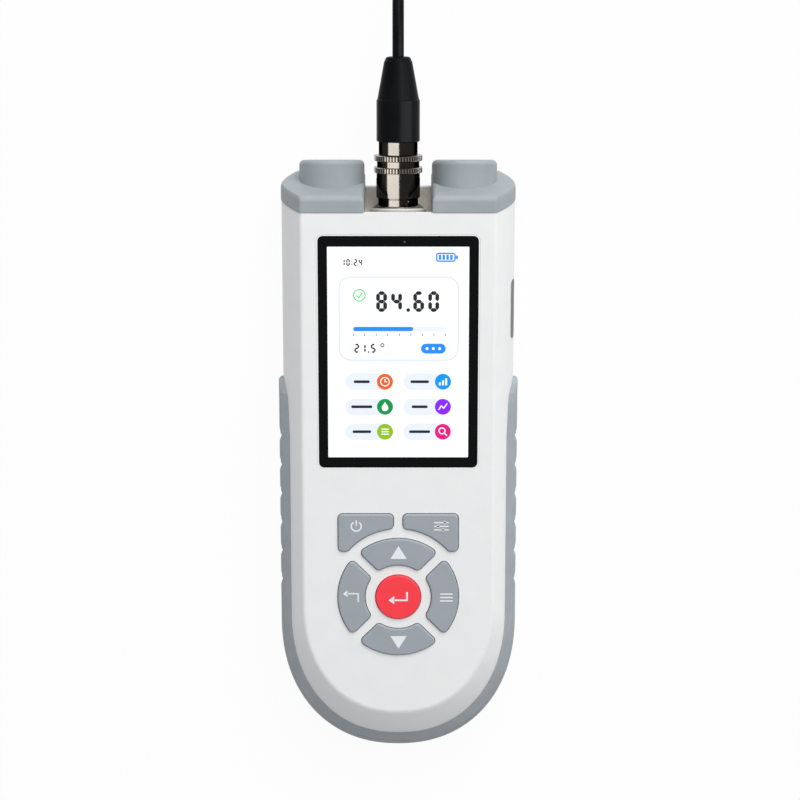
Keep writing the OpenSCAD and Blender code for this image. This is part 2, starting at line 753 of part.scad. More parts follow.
switch_w = 6.2;
switch_floor = 0.7;
module key_switches() {
    color([0.2, 0.2, 0.22]) for (k = key_names)
        translate([key_spot(k)[0], key_spot(k)[1], board_top + seat]) difference() {
            translate([-switch_w / 2, -switch_w / 2, 0]) cube([switch_w, switch_w, switch_h]);
            translate([0, 0, switch_floor]) cylinder(h = switch_h, r = key_post_r + run);
        }
}

buzzer_h = 4;
buzzer_r = 4.6;
module buzzer() {
    color([0.12, 0.12, 0.13])
        translate([12.5 - board_w / 2, top_y - 25, board_z - buzzer_h - seat]) difference() {
            cylinder(h = buzzer_h, r = buzzer_r);
            translate([0, 0, -1]) cylinder(h = 2, r = 0.8);
        }
}

battery_at = 58;
battery_y = top_y - battery_at - battery_l;
module battery() {
    color([0.25, 0.45, 0.7]) translate([-battery_w / 2, battery_y, wall + fit])
        cube([battery_w, battery_l, battery_t]);
}
module battery_lead() {
    y = battery_y + battery_l + seat;
    color([0.8, 0.15, 0.12]) for (x = [14, 16.4]) translate([0, y, 0]) mirror([0, 1, 0])
        bent_wire(x, 0, wall + battery_t / 2, board_z - seat, 0.7, 1.5, 3);
}

port_socket_l = 7.4;
port_sheet = 0.4;
module charging_socket() {
    w = port_socket_w;
    h = port_socket_h;
    x = case_w / 2 - cavity_side - fit - port_socket_l;
    color([0.75, 0.75, 0.77]) difference() {
        translate([x, port_y - w / 2, port_z - h / 2]) cube([port_socket_l, w, h]);
        translate([x + 1, port_y - w / 2 + port_sheet, port_z - h / 2 + port_sheet])
            cube([port_socket_l, w - 2 * port_sheet, h - 2 * port_sheet]);
    }
}

module port_cover() {
    color([0.3, 0.3, 0.31]) union() {
        intersection() {
            port_block(0, case_w / 2 - port_deep + fit, case_w / 2 + 3);
            along_y(port_y - 20, 40) polygon(section_pts(0.05, 8, 28, 20));
        }
        translate([case_w / 2 - port_deep + fit - 0.7, port_y - port_socket_w / 2 + 0.5, port_z - 0.9])
            cube([1, port_socket_w - 1, 1.8]);
    }
}

// Plug
plug_x = spots[1][0];
plug_z = spots[1][1];
// Distances from the front top edge along the plug
rim_s = 1.3;
sleeve_s = 4.2;
knurl_s = [12.8, 16.9];
knurl_w = 1.95;
sleeve_end = 18.8;
neck_end = 23.5;
straight_end = 37.7;
boot_end = 52.5;
// Bore of the sleeve round the socket's pins, groove round the body behind it
sleeve_bore = barrel_r + pin_l;
body_r = 4.4;
collar_lip_r = 5.6;
core_r = 5;
lip_end = sleeve_end - 3.7;
module knurled(s) {
    on_y(plug_x, top_y + s, plug_z) difference() {
        cylinder(h = knurl_w, r = knurl_r);
        for (i = [0:knurl_count - 1]) rotate(360 * i / knurl_count)
            translate([knurl_r + 0.05, 0, -1]) cylinder(h = knurl_w + 2, r = 0.3, $fn = 4);
    }
}
module plug_sleeve() {
    color([0.3, 0.28, 0.26]) difference() {
        union() {
            on_y(plug_x, top_y, plug_z) rotate_extrude() polygon([
                [0, rim_s], [rim_r - 0.2, rim_s], [rim_r, rim_s + 0.2], [rim_r, sleeve_s],
                [sleeve_r - 0.1, sleeve_s], [sleeve_r, sleeve_s + 0.1], [sleeve_r, sleeve_end],
                [0, sleeve_end]]);
            for (s = knurl_s) knurled(s);
        }
        on_y(plug_x, top_y - 5, plug_z) {
            cylinder(h = 5 + lip_end + run, r = sleeve_bore);
            cylinder(h = 30, r = body_r + run);
        }
    }
}
module plug_body() {
    c = collar_s(1) + barrel_l;
    r = barrel_bore - run;
    s = sleeve_end + 2 * fit;
    color([0.72, 0.69, 0.64]) difference() {
        on_y(plug_x, top_y, plug_z) rotate_extrude() polygon([
            [0, c - barrel_deep + 1.6], [r, c - barrel_deep + 1.6], [r, c + 2 * run],
            [collar_lip_r, c + 2 * run], [collar_lip_r, lip_end], [body_r, lip_end], [body_r, s],
            [neck_r - 0.15, s], [neck_r, s + 0.15], [neck_r, neck_end - seat],
            [core_r, neck_end - seat], [core_r, straight_end], [0, straight_end]]);
        on_y(plug_x, top_y, plug_z) cylinder(h = c, r = insulator_r + run + fit);
    }
}
contact_l = 4.2;
module plug_pin() {
    color([0.85, 0.7, 0.35]) on_y(plug_x, top_y + collar_s(1) + barrel_l - contact_l, plug_z)
        cylinder(h = contact_l - seat, r = contact_r);
}
tip_round = 1.3;
module plug_boot() {
    e = 0.3;
    bore = core_r + fit / 2;
    floor_s = straight_end + fit / 2;
    color([0.05, 0.05, 0.06]) on_y(plug_x, top_y, plug_z) rotate_extrude() polygon(concat(
        [[bore, neck_end], [boot_r - e, neck_end], [boot_r, neck_end + e], [boot_r, straight_end],
         [boot_r - e, straight_end + e], [boot_tip_r + e, boot_end - tip_round - e]],
        [for (i = [0:4]) let (w = 90 * i / 4)
            [boot_tip_r - tip_round + tip_round * cos(w), boot_end - tip_round + tip_round * sin(w)]],
        [[0, boot_end], [0, floor_s], [bore, floor_s]]));
}

// The probe lies along Y, its tip towards the case
probe_x = 42;
probe_s = 218;
probe_z = head_r;

// Lead: points in x, distance beyond the front top edge, height
lead_route = [[plug_x, boot_end, plug_z], [plug_x, boot_end + 5.5, plug_z], [0, 64, 18.8],
              [0, 70, 17.2], [0, 76, 14.6], [0, 82, 11.4], [1, 88, 8.2], [2, 94, 5.4],
              [3.2, 100, 3.4], [5, 107, 2.3], [7.6, 115, 2], [10.6, 124, 2],
              [13.6, 133, 2.2], [15.6, 142, 2.5], [16.3, 150, 2.7]];
tail_route = [[14.2, 150, 6.4], [14.2, 158, 6.5], [14.2, 166, 6.3], [14.2, 173, 5.2], [14.2, 180, 3.4],
              [14.2, 187, 2.3], [14.2, 195, 2], [14.2, 204, 2], [14.2, 213, 2], [14.3, 222, 2.2],
              [15.8, 230, 3], [20, 236.2, 4.2], [27, 239, 5.4], [34.2, 236.6, 6.2], [39.5, 230.5, 6.5],
              [probe_x, probe_s + 6, probe_z], [probe_x, probe_s, probe_z]];
function sub3(a, b) = [a[0] - b[0], a[1] - b[1], a[2] - b[2]];
function unit(v) = v / norm(v);
// Direction of the route at point i, taken from its neighbours
function heading(p, i) = unit(sub3(p[min(i + 1, len(p) - 1)], p[max(i - 1, 0)]));
cord_sides = 10;
module tube(route, r) {
    n = len(route);
    pts = [for (i = [0:n - 1])
              let (d = heading(route, i), side = unit(cross(d, [0, 0, 1])), up = cross(side, d))
              for (k = [0:cord_sides - 1]) let (w = 360 * (k + 0.5) / cord_sides)
                  route[i] + r * cos(w) * side + r * sin(w) * up];
    walls = [for (i = [0:n - 2], k = [0:cord_sides - 1])
                let (a = i * cord_sides + k, b = i * cord_sides + (k + 1) % cord_sides)
                [a, b, b + cord_sides, a + cord_sides]];
    caps = [[for (k = [cord_sides - 1:-1:0]) k], [for (k = [0:cord_sides - 1]) (n - 1) * cord_sides + k]];
    translate([0, top_y, 0]) polyhedron(points = pts, faces = concat(walls, caps));
}
module lead_cable() color([0.06, 0.06, 0.07]) tube(lead_route, cord_r);
module tail_cable() color([0.06, 0.06, 0.07]) tube(tail_route, cord_r);

// Coil of the put-away length: four turns of cable wide, two high
coil_at = [-12, 150];
coil_lift = 0.7;
coil_in = 13.6;
coil_out = 30.4;
coil_h = 7.9;
coil_edge = 2.1;
// Outline of the coil's cross-section, grown by g, with its underside at z0
function coil_pts(g, z0) = [
    [coil_in - g, z0], [coil_out + g, z0], [coil_out + g, coil_h / 2],
    [coil_out - coil_edge + g / 2, coil_h + g], [coil_in + coil_edge - g / 2, coil_h + g],
    [coil_in - g, coil_h / 2]];
module cable_coil() {
    color([0.06, 0.06, 0.07]) translate([coil_at[0], top_y + coil_at[1], coil_lift])
        rotate_extrude() polygon(coil_pts(0, 0));
}
tie_t = 0.6;
tie_w = 5;
tie_gap = 0.3;
module cable_tie() {
    low = tie_t - coil_lift;
    color([0.1, 0.1, 0.1]) translate([coil_at[0], top_y + coil_at[1] - tie_w / 2, coil_lift])
        mirror([1, 0, 0]) along_y(0, tie_w) difference() {
            polygon(coil_pts(tie_gap + tie_t, low - tie_t + 3 * seat));
            polygon(coil_pts(tie_gap, low + 3 * seat));
        }
}

// Probe. Places children with Z along -Y, starting a distance d from the lead's end
module on_probe(d) {
    translate([probe_x, top_y + probe_s - d, probe_z]) rotate([90, 0, 0]) children();
}
module probe_boot() {
    tip = cord_r + 0.7;
    color([0.05, 0.05, 0.06]) on_probe(0) rotate_extrude() polygon([
        [0, 0], [tip, 0], [tip + 0.3, 0.4], [head_r - 1.9, probe_boot_l], [0, probe_boot_l]]);
}
// Where the head, the shaft and the guard start
head_d = probe_boot_l + seat;
shaft_d = head_d + head_l + seat;
guard_d = shaft_d + shaft_l + seat;
module probe_head() {
    color([0.12, 0.12, 0.13]) on_probe(head_d) difference() {
        rotate_extrude() polygon([[0, 0], [head_r - 1, 0], [head_r, 1], [head_r, head_l - 0.5],
                                  [head_r - 0.5, head_l], [0, head_l]]);
        for (z = [4, 7, 10]) translate([0, 0, z]) rotate_extrude()
            translate([head_r, 0]) circle(r = 0.5, $fn = 16);
    }
}
module probe_shaft() {
    color([0.16, 0.16, 0.17]) on_probe(shaft_d) cylinder(h = shaft_l, r = shaft_r);
}
// The guard is open at its tip and has four windows
guard_floor = 3;
guard_wall = 1.5;
slot_w = 4;
slot_l = 9;
module probe_guard() {
    color([0.12, 0.12, 0.13]) on_probe(guard_d) difference() {
        cylinder(h = guard_l, r = head_r);
        translate([0, 0, guard_floor]) cylinder(h = guard_l, r = head_r - guard_wall);
        for (a = [0, 90]) rotate(a) translate([-slot_w / 2, -head_r - 1, 2 * guard_floor])
            cube([slot_w, 2 * head_r + 2, slot_l]);
    }
}
// Electrode stem inside the guard, with three rings let into it
stem_r = 2.6;
stem_d = guard_d + guard_floor + seat;
stem_l = guard_l - 2 * guard_floor;
ring_spots = [4, 8, 12];
electrode_w = 1.56;
electrode_in = 0.48;
module probe_stem() {
    color([0.85, 0.85, 0.82]) on_probe(stem_d) difference() {
        cylinder(h = stem_l, r = stem_r);
        for (z = ring_spots) translate([0, 0, z]) difference() {
            cylinder(h = electrode_w + 2 * seat, r = stem_r + 1);
            translate([0, 0, -1]) cylinder(h = 4, r = stem_r - electrode_in - seat);
        }
    }
}
module probe_rings() {
    color([0.5, 0.5, 0.52]) for (z = ring_spots) on_probe(stem_d + z + seat) difference() {
        cylinder(h = electrode_w, r = stem_r + fit);
        translate([0, 0, -1]) cylinder(h = 4, r = stem_r - electrode_in);
    }
}

front_shell();
rear_shell();
side_bumper();
shell_gasket();
case_screws();
connector_panel();
socket_collars();
socket_left();
socket_middle();
socket_right();
socket_insulators();
socket_nuts();
socket_leads();
socket_cover_left();
socket_cover_right();
display_window();
display_module();
display_ribbon();
main_board();
key_switches();
key_power();
key_calibrate();
key_up();
key_down();
key_left();
key_right();
key_enter();
buzzer();
battery();
battery_lead();
charging_socket();
port_cover();
plug_sleeve();
plug_body();
plug_pin();
plug_boot();
lead_cable();
cable_coil();
cable_tie();
tail_cable();
probe_boot();
probe_head();
probe_shaft();
probe_guard();
probe_stem();
probe_rings();
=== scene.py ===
"""Looks of a portable water quality analyzer: camera, light, materials and the pieces seen from outside."""
import json
import math

import bmesh
import bpy
import numpy as np
from mathutils import Matrix, Vector


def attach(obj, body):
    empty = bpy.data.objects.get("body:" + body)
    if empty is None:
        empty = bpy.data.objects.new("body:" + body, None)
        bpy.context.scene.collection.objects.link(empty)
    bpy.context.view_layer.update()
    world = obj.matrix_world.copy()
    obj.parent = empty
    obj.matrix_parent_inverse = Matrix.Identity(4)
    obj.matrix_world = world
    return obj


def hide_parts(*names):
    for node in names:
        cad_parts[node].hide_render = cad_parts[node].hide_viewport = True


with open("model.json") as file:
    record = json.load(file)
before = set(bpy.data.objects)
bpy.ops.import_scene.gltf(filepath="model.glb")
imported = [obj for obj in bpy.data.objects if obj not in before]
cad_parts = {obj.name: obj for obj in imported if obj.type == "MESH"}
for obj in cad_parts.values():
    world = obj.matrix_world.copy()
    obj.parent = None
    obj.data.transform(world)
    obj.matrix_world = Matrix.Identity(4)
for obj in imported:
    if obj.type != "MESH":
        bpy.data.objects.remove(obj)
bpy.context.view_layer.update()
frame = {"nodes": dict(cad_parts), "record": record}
scene = bpy.context.scene
MM = 0.001

# Values of the part's source, in millimetres. Distances named AT run from the front top edge
TOP_Y = 89.95
CASE_W = 81.6
CASE_L = 195.7
CASE_T = 32.0
WALL = 2.2
SPLIT_Z = 16.0
SLOPE = math.radians(11)
# How far the face and the back lie inside the widest outline, at the sides and at the round end
FACE_SIDE_IN, BACK_SIDE_IN = 7.2, 6.0
FACE_END_IN, BACK_END_IN = 16.0, 9.0
ROUND_L, ROUND_FACE_IN = 48.4, 7.9
CURVE_POWER, ROUND_POWER = 1.65, 2.2
PLUG_Z = 19.5
SOCKETS = [(-23.2, 12.05), (0.0, PLUG_Z), (23.2, 12.05)]
COLLAR_R = 9.65
LEAD_FROM = 52.5
WINDOW_W, WINDOW_L, WINDOW_R = 55.5, 81.7, 1.8
WINDOW_Y = TOP_Y - 7.8 - WINDOW_L / 2
BORDER_SIDE, BORDER_END = 3.25, 3.7
RING_Y = TOP_Y - 136.6
PAIR_Y = TOP_Y - 106.2
PORT_Y, PORT_Z = TOP_Y - 35.1, 19.18
PORT_DEEP, PORT_HOLE_DEEP = 1.7, 8
BUMPER_AT, BUMPER_HALF, BUMPER_T = 60, 8.5, 1.6


# Camera, matched to the photograph
CAMERA_X, CAMERA_BEYOND, CAMERA_Z = 0.63, 84.5, 761.8
AIM_AT = 65.27
LENS = 96.2


def look_from(place, aim):
    cam = bpy.data.objects.new("camera", bpy.data.cameras.new("camera"))
    scene.collection.objects.link(cam)
    back = (Vector(place) - Vector(aim)).normalized()
    right = Vector((0, 1, 0)).cross(back).normalized()
    up = back.cross(right)
    turn = Matrix((right, up, back)).transposed().to_4x4()
    cam.matrix_world = Matrix.Translation(Vector(place) * MM) @ turn
    cam.data.sensor_width = 36
    cam.data.lens = LENS
    scene.camera = cam


look_from((CAMERA_X, TOP_Y + CAMERA_BEYOND, CAMERA_Z), (CAMERA_X, TOP_Y - AIM_AT, CASE_T))
scene.view_settings.view_transform = "Standard"


# Mesh helpers
def finish_mesh(name, mesh, body, sharp=35):
    obj = bpy.data.objects.new(name, mesh)
    scene.collection.objects.link(obj)
    for p in mesh.polygons:
        p.use_smooth = True
    mesh.set_sharp_from_angle(angle=math.radians(sharp))
    even = obj.modifiers.new("even", "WEIGHTED_NORMAL")
    even.keep_sharp = True
    even.weight = 80
    if body:
        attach(obj, body)
    return obj


def solid(name, verts, faces, body, sharp=35):
    mesh = bpy.data.meshes.new(name)
    mesh.from_pydata([(x * MM, y * MM, z * MM) for x, y, z in verts], [], faces)
    mesh.validate()
    return finish_mesh(name, mesh, body, sharp)


# Cords
def smooth_line(points, step):
    """Catmull-Rom line through the points, resampled about every step."""
    p = [np.array(q, float) for q in points]
    p = [2 * p[0] - p[1]] + p + [2 * p[-1] - p[-2]]
    line = []
    for i in range(1, len(p) - 2):
        n = max(2, int(np.linalg.norm(p[i + 1] - p[i]) / step))
        for k in range(n):
            t = k / n
            line.append(0.5 * (2 * p[i] + (p[i + 1] - p[i - 1]) * t
                               + (2 * p[i - 1] - 5 * p[i] + 4 * p[i + 1] - p[i + 2]) * t * t
                               + (3 * p[i] - p[i - 1] - 3 * p[i + 1] + p[i + 2]) * t ** 3))
    line.append(p[-2])
    return line


# x, distance beyond the front top edge, z, as in the part's source
LEAD = [(0, LEAD_FROM, PLUG_Z), (0, 58, PLUG_Z), (0, 64, 18.8), (0, 70, 17.2), (0, 76, 14.6), (0, 82, 11.4),
        (1, 88, 8.2), (2, 94, 5.4), (3.2, 100, 3.4), (5, 107, 2.3), (7.6, 115, 2), (10.6, 124, 2),
        (13.6, 133, 2.2), (15.6, 142, 2.5)]
TAIL = [(14.2, 158, 6.5), (14.2, 166, 6.3), (14.2, 173, 5.2), (14.2, 180, 3.4), (14.2, 187, 2.3),
        (14.2, 195, 2), (14.2, 204, 2), (14.2, 213, 2), (14.3, 222, 2.2), (15.8, 230, 3),
        (20, 236.2, 4.2), (27, 239, 5.4), (34.2, 236.6, 6.2), (39.5, 230.5, 6.5), (42, 224, 6.5),
        (42, 218, 6.5)]
COIL_AT = (-12, 150)
COIL_TURNS, POINTS_A_TURN = 6, 36
OUTER_R, INNER_R, PITCH = 28.3, 15.7, 4.2
LOW_Z, HIGH_Z, CLIMB_Z = 2.7, 6.4, 6.8
CABLE_D = 0.004


def coil_point(turns):
    """A point of the coil after so many turns: three out to in, one climbing, two in to out."""
    if turns <= 3:
        r, z = OUTER_R - PITCH * turns, LOW_Z
    elif turns <= 4:
        t = turns - 3
        r = INNER_R + PITCH / 2 * t
        rise = min(1, t / 0.5)
        z = LOW_Z + (CLIMB_Z - LOW_Z) * rise * rise * (3 - 2 * rise)
        if t > 0.7:
            z -= (CLIMB_Z - HIGH_Z) * (t - 0.7) / 0.3
    else:
        r, z = INNER_R + PITCH / 2 + PITCH * (turns - 4), HIGH_Z
    a = 2 * math.pi * turns
    return (COIL_AT[0] + r * math.cos(a), COIL_AT[1] + r * math.sin(a), z)


coil = [coil_point(k / POINTS_A_TURN) for k in range(COIL_TURNS * POINTS_A_TURN + 1)]
route = smooth_line(LEAD + coil + TAIL, 2.5)
route = [(x * MM, (TOP_Y + s) * MM, z * MM) for x, s, z in route]
cable_curve = bpy.data.curves.new("lead", "CURVE")
cable_curve.dimensions = "3D"
# A depth of 1, so that the curve's own box has the true radius
cable_curve.bevel_depth = 1
cable_curve.bevel_resolution = 5
cable_curve.use_fill_caps = True
spline = cable_curve.splines.new("POLY")
spline.points.add(len(route) - 1)
for point, co in zip(spline.points, route):
    point.co = (*co, 1)
    point.radius = CABLE_D / 2
spline.use_smooth = True
cable = bpy.data.objects.new("lead", cable_curve)
scene.collection.objects.link(cable)
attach(cable, "plug")
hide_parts("lead_cable", "cable_coil", "tail_cable")


# Light and stage
def light(name, place, aim, size, power):
    lamp = bpy.data.lights.new(name, "AREA")
    lamp.shape = "RECTANGLE"
    lamp.size, lamp.size_y = size
    lamp.energy = power
    obj = bpy.data.objects.new(name, lamp)
    scene.collection.objects.link(obj)
    obj.location = place
    obj.rotation_mode = "QUATERNION"
    obj.rotation_quaternion = (Vector(aim) - Vector(place)).to_track_quat("-Z", "Y")
    return obj


light("key", (0.56, 1.53, 1.47), (0, 0, 0), (1.9, 1.9), 50)


def seen_white(mat, base, share):
    """Adds an even white seen by the camera and in reflections, over the given shader."""
    tree = mat.node_tree
    path = tree.nodes.new("ShaderNodeLightPath")
    a = tree.nodes.new("ShaderNodeMath")
    a.operation = "MAXIMUM"
    b = tree.nodes.new("ShaderNodeMath")
    b.operation = "MAXIMUM"
    c = tree.nodes.new("ShaderNodeMath")
    c.operation = "MULTIPLY"
    c.inputs[1].default_value = share
    white = tree.nodes.new("ShaderNodeEmission")
    mix = tree.nodes.new("ShaderNodeMixShader")
    out = next(n for n in tree.nodes if n.type.startswith("OUTPUT"))
    link = tree.links.new
    link(path.outputs["Is Camera Ray"], a.inputs[0])
    link(path.outputs["Is Glossy Ray"], a.inputs[1])
    link(a.outputs[0], b.inputs[0])
    link(path.outputs["Is Transmission Ray"], b.inputs[1])
    link(b.outputs[0], c.inputs[0])
    link(c.outputs[0], mix.inputs[0])
    link(base.outputs[0], mix.inputs[1])
    link(white.outputs[0], mix.inputs[2])
    link(mix.outputs[0], out.inputs[0])


world = bpy.data.worlds.new("world")
scene.world = world
world.use_nodes = True
sky = world.node_tree.nodes["Background"]
sky.inputs[0].default_value = (0.95, 0.97, 1, 1)
sky.inputs[1].default_value = 0.37
seen_white(world, sky, 1)

floor_mat = bpy.data.materials.new("floor")
floor_mat.use_nodes = True
floor_shader = floor_mat.node_tree.nodes["Principled BSDF"]
floor_shader.inputs["Base Color"].default_value = (0.85, 0.85, 0.85, 1)
floor_shader.inputs["Roughness"].default_value = 0.9
seen_white(floor_mat, floor_shader, 0.95)
HALF_FLOOR = 4000
corners = [(sx * HALF_FLOOR, sy * HALF_FLOOR, 0) for sx, sy in ((-1, -1), (1, -1), (1, 1), (-1, 1))]
floor = solid("floor", corners, [(0, 1, 2, 3)], None)
floor.data.materials.append(floor_mat)


# Materials
MATERIALS = {}


def material(name, rgb, rough, metal=0.0, tone=0.06, tone_mm=6.0, grain_mm=0.25, grain=0.15,
             rough_spread=0.06, coat=0.0, sheen=0.0, shine=0.5, glow=0.0, stretch=(1, 1, 1)):
    """Plastic, rubber or metal: slow changes of tone and gloss, and a fine moulded or brushed grain."""
    mat = bpy.data.materials.new(name)
    mat.use_nodes = True
    tree = mat.node_tree
    bsdf = tree.nodes["Principled BSDF"]
    link = tree.links.new
    where = tree.nodes.new("ShaderNodeTexCoord")
    stretched = tree.nodes.new("ShaderNodeMapping")
    stretched.inputs["Scale"].default_value = stretch
    slow = tree.nodes.new("ShaderNodeTexNoise")
    slow.inputs["Scale"].default_value = 1 / (tone_mm * MM)
    slow.inputs["Detail"].default_value = 4
    ramp = tree.nodes.new("ShaderNodeValToRGB")
    ramp.color_ramp.elements[0].position = 0.3
    ramp.color_ramp.elements[0].color = (*[c * (1 - tone) for c in rgb], 1)
    ramp.color_ramp.elements[1].position = 0.7
    ramp.color_ramp.elements[1].color = (*[min(1, c * (1 + tone)) for c in rgb], 1)
    gloss = tree.nodes.new("ShaderNodeMapRange")
    gloss.inputs["To Min"].default_value = rough - rough_spread
    gloss.inputs["To Max"].default_value = rough + rough_spread
    fine = tree.nodes.new("ShaderNodeTexNoise")
    fine.inputs["Scale"].default_value = 1 / (grain_mm * MM)
    fine.inputs["Detail"].default_value = 3
    bump = tree.nodes.new("ShaderNodeBump")
    bump.inputs["Strength"].default_value = grain
    bump.inputs["Distance"].default_value = grain_mm * MM * 0.5
    link(where.outputs["Object"], slow.inputs["Vector"])
    link(where.outputs["Object"], stretched.inputs["Vector"])
    link(stretched.outputs[0], fine.inputs["Vector"])
    link(slow.outputs[0], ramp.inputs[0])
    link(slow.outputs[0], gloss.inputs[0])
    link(gloss.outputs[0], bsdf.inputs["Roughness"])
    link(ramp.outputs[0], bsdf.inputs["Base Color"])
    link(fine.outputs[0], bump.inputs["Height"])
    link(bump.outputs[0], bsdf.inputs["Normal"])
    bsdf.inputs["Metallic"].default_value = metal
    bsdf.inputs["Coat Weight"].default_value = coat
    bsdf.inputs["Sheen Weight"].default_value = sheen
    bsdf.inputs["Specular IOR Level"].default_value = shine
    if glow:
        link(ramp.outputs[0], bsdf.inputs["Emission Color"])
        bsdf.inputs["Emission Strength"].default_value = glow
    MATERIALS[name] = mat
    return mat


def srgb(*rgb):
    return tuple(((c / 255 + 0.055) / 1.055) ** 2.4 if c > 10 else c / 255 / 12.92 for c in rgb)


WHITE = material("white_shell", (0.87, 0.87, 0.865), 0.42, tone=0.012, grain_mm=0.3, grain=0.10, shine=0.35)
RIM = material("window_rim", (0.98, 0.98, 0.98), 0.4, tone=0.01, grain=0.05)
RUBBER = material("grey_rubber", srgb(160, 166, 170), 0.62, tone=0.05, grain_mm=0.35, grain=0.25, shine=0.3)
COVER = material("cover_rubber", srgb(157, 164, 168), 0.55, tone=0.04, grain_mm=0.35, grain=0.2, shine=0.35)
material("panel_plastic", srgb(176, 171, 162), 0.6, tone=0.14, tone_mm=0.8, grain_mm=0.3, grain=0.3,
         shine=0.3)
COLLAR = material("collar_metal", srgb(214, 213, 209), 0.45, tone=0.04, grain_mm=0.4, grain=0.12)
material("nickel", (0.62, 0.56, 0.49), 0.24, metal=1, tone=0.08, grain_mm=0.5, grain=0.08)
# Plug metal: dark chrome, with its base colour darkened further to stand in for dark surroundings seen in
# reflection, a painted dark reflection.
NICKEL_PAINTED_DARK = material("dark_nickel", (0.017, 0.0155, 0.0135), 0.12, metal=1, tone=0.1, grain_mm=0.3, grain=0.03,
                rough_spread=0.03, stretch=(1, 0.15, 1))
NICKEL_PAINTED_DARK.node_tree.nodes["Principled BSDF"].inputs["Specular Tint"].default_value = (0.25, 0.23, 0.2, 1)
# The same plug metal in a much lighter copy for the knurled rings: painted bright glints on the teeth.
KNURL_PAINTED_GLINT = material("knurl_nickel_painted_glint", (0.13, 0.12, 0.105), 0.16, metal=1, tone=0.1, grain_mm=0.3, grain=0.03,
                 rough_spread=0.03)
# The same plug metal in a lighter copy for the plates beside the ramps: a painted sheen.
RAMP_PAINTED_SHEEN = material("ramp_nickel_painted_sheen", (0.052, 0.047, 0.041), 0.36, metal=1, tone=0.12, grain_mm=0.3, grain=0.05)
material("contact_gold", (0.83, 0.60, 0.25), 0.25, metal=1, tone=0.05, grain_mm=0.5, grain=0.05)
material("insulator", (0.86, 0.85, 0.80), 0.5, tone=0.03)
BLACK = material("black_rubber", srgb(9, 10, 12), 0.3, tone=0.2, grain_mm=0.4, grain=0.06, shine=0.035)
FLAP = material("flap_rubber", srgb(122, 124, 126), 0.6, tone=0.06, grain_mm=0.3, grain=0.25, shine=0.3)
GLASS = material("window_glass", srgb(9, 10, 11), 0.16, tone=0.1, grain=0.0, shine=0.05)
SCREEN = material("display", (0.86, 0.865, 0.88), 0.35, tone=0.008, tone_mm=12, grain_mm=0.12, grain=0.03,
                  shine=0.2, glow=0.3)
material("ribbon", (0.70, 0.35, 0.05), 0.35, tone=0.06)
material("board", (0.02, 0.16, 0.06), 0.35, tone=0.12, coat=0.3)
material("dark_plastic", (0.03, 0.03, 0.033), 0.45, tone=0.12, grain_mm=0.3, grain=0.25)
KEY = material("key_grey", srgb(158, 165, 171), 0.5, tone=0.025, grain_mm=0.3, grain=0.15, shine=0.35)
RED = material("key_red", srgb(255, 62, 74), 0.45, tone=0.03, grain_mm=0.3, grain=0.12, shine=0.35)
PRINT = material("key_print", (0.83, 0.86, 0.88), 0.5, tone=0.02, grain=0.05)
material("battery_wrap", (0.05, 0.16, 0.42), 0.35, tone=0.08, coat=0.2)
material("wire", (0.55, 0.03, 0.02), 0.45, tone=0.06)
material("steel", (0.56, 0.57, 0.58), 0.3, metal=1, tone=0.06, grain_mm=0.4, grain=0.08)
slot_of = {p["node"]: p["material_slot"] for p in frame["record"]["subparts"]}
for n, obj in frame["nodes"].items():
    obj.data.materials.clear()
    obj.data.materials.append({"plug_body": NICKEL_PAINTED_DARK, "port_cover": FLAP}.get(n, MATERIALS[slot_of[n]]))
cable_curve.materials.append(BLACK)


# Case outlines
def ease(u):
    return max(0.0, 1 - u) ** CURVE_POWER


def share(z):
    return (CASE_T - z) / (CASE_T - SPLIT_Z) if z >= SPLIT_Z else max(0.0, z) / SPLIT_Z


def half_at(z):
    return CASE_W / 2 - ease(share(z)) * (FACE_SIDE_IN if z >= SPLIT_Z else BACK_SIDE_IN)


def end_at(z):
    return TOP_Y - CASE_L + ease(share(z)) * (FACE_END_IN if z >= SPLIT_Z else BACK_END_IN)


def round_at(z):
    return ROUND_L - (ROUND_FACE_IN * ease(share(z)) if z >= SPLIT_Z else 0)


def round_point(z, g, w):
    """A point of the round end's outline at height z, grown by g, at the angle w."""
    a, b = half_at(z) + g, round_at(z) + min(g, 0)
    c, s = math.cos(w), abs(math.sin(w))
    power = 2 / ROUND_POWER
    return (math.copysign(a * abs(c) ** power, c), end_at(z) - g + b - b * s ** power)


def plan(z, g=0.0, top=TOP_Y + 14, n=56):
    """Outline of the case at height z, grown by g, open past the sloped end."""
    pts = [(-half_at(z) - g, top)]
    pts += [round_point(z, g, math.pi * (1 + i / n)) for i in range(n + 1)]
    return pts + [(half_at(z) + g, top)]


def section(g, z0, z1, n=20, x0=None):
    """Outline of the case across X and Z. With x0, only what lies to the right of it."""
    zs = [z0 + (z1 - z0) * i / n for i in range(n + 1)]
    right = [(half_at(min(max(z, 0), CASE_T)) + g, z) for z in zs]
    left = [(-x, z) for x, z in reversed(right)] if x0 is None else [(x0, z1), (x0, z0)]
    return right + left


# Solids
def loft(rings, name="loft"):
    """Closed solid through rings of equal length, each a list of 3D points, capped at both ends."""
    n = len(rings[0])
    verts = [p for ring in rings for p in ring]
    faces = [tuple(range(n - 1, -1, -1)), tuple((len(rings) - 1) * n + i for i in range(n))]
    for r in range(len(rings) - 1):
        for i in range(n):
            j = (i + 1) % n
            faces.append((r * n + i, r * n + j, (r + 1) * n + j, (r + 1) * n + i))
    mesh = bpy.data.meshes.new(name)
    mesh.from_pydata(verts, [], faces)
    tidy = bmesh.new()
    tidy.from_mesh(mesh)
    bmesh.ops.recalc_face_normals(tidy, faces=tidy.faces)
    tidy.to_mesh(mesh)
    tidy.free()
    obj = bpy.data.objects.new(name, mesh)
    scene.collection.objects.link(obj)
    return obj


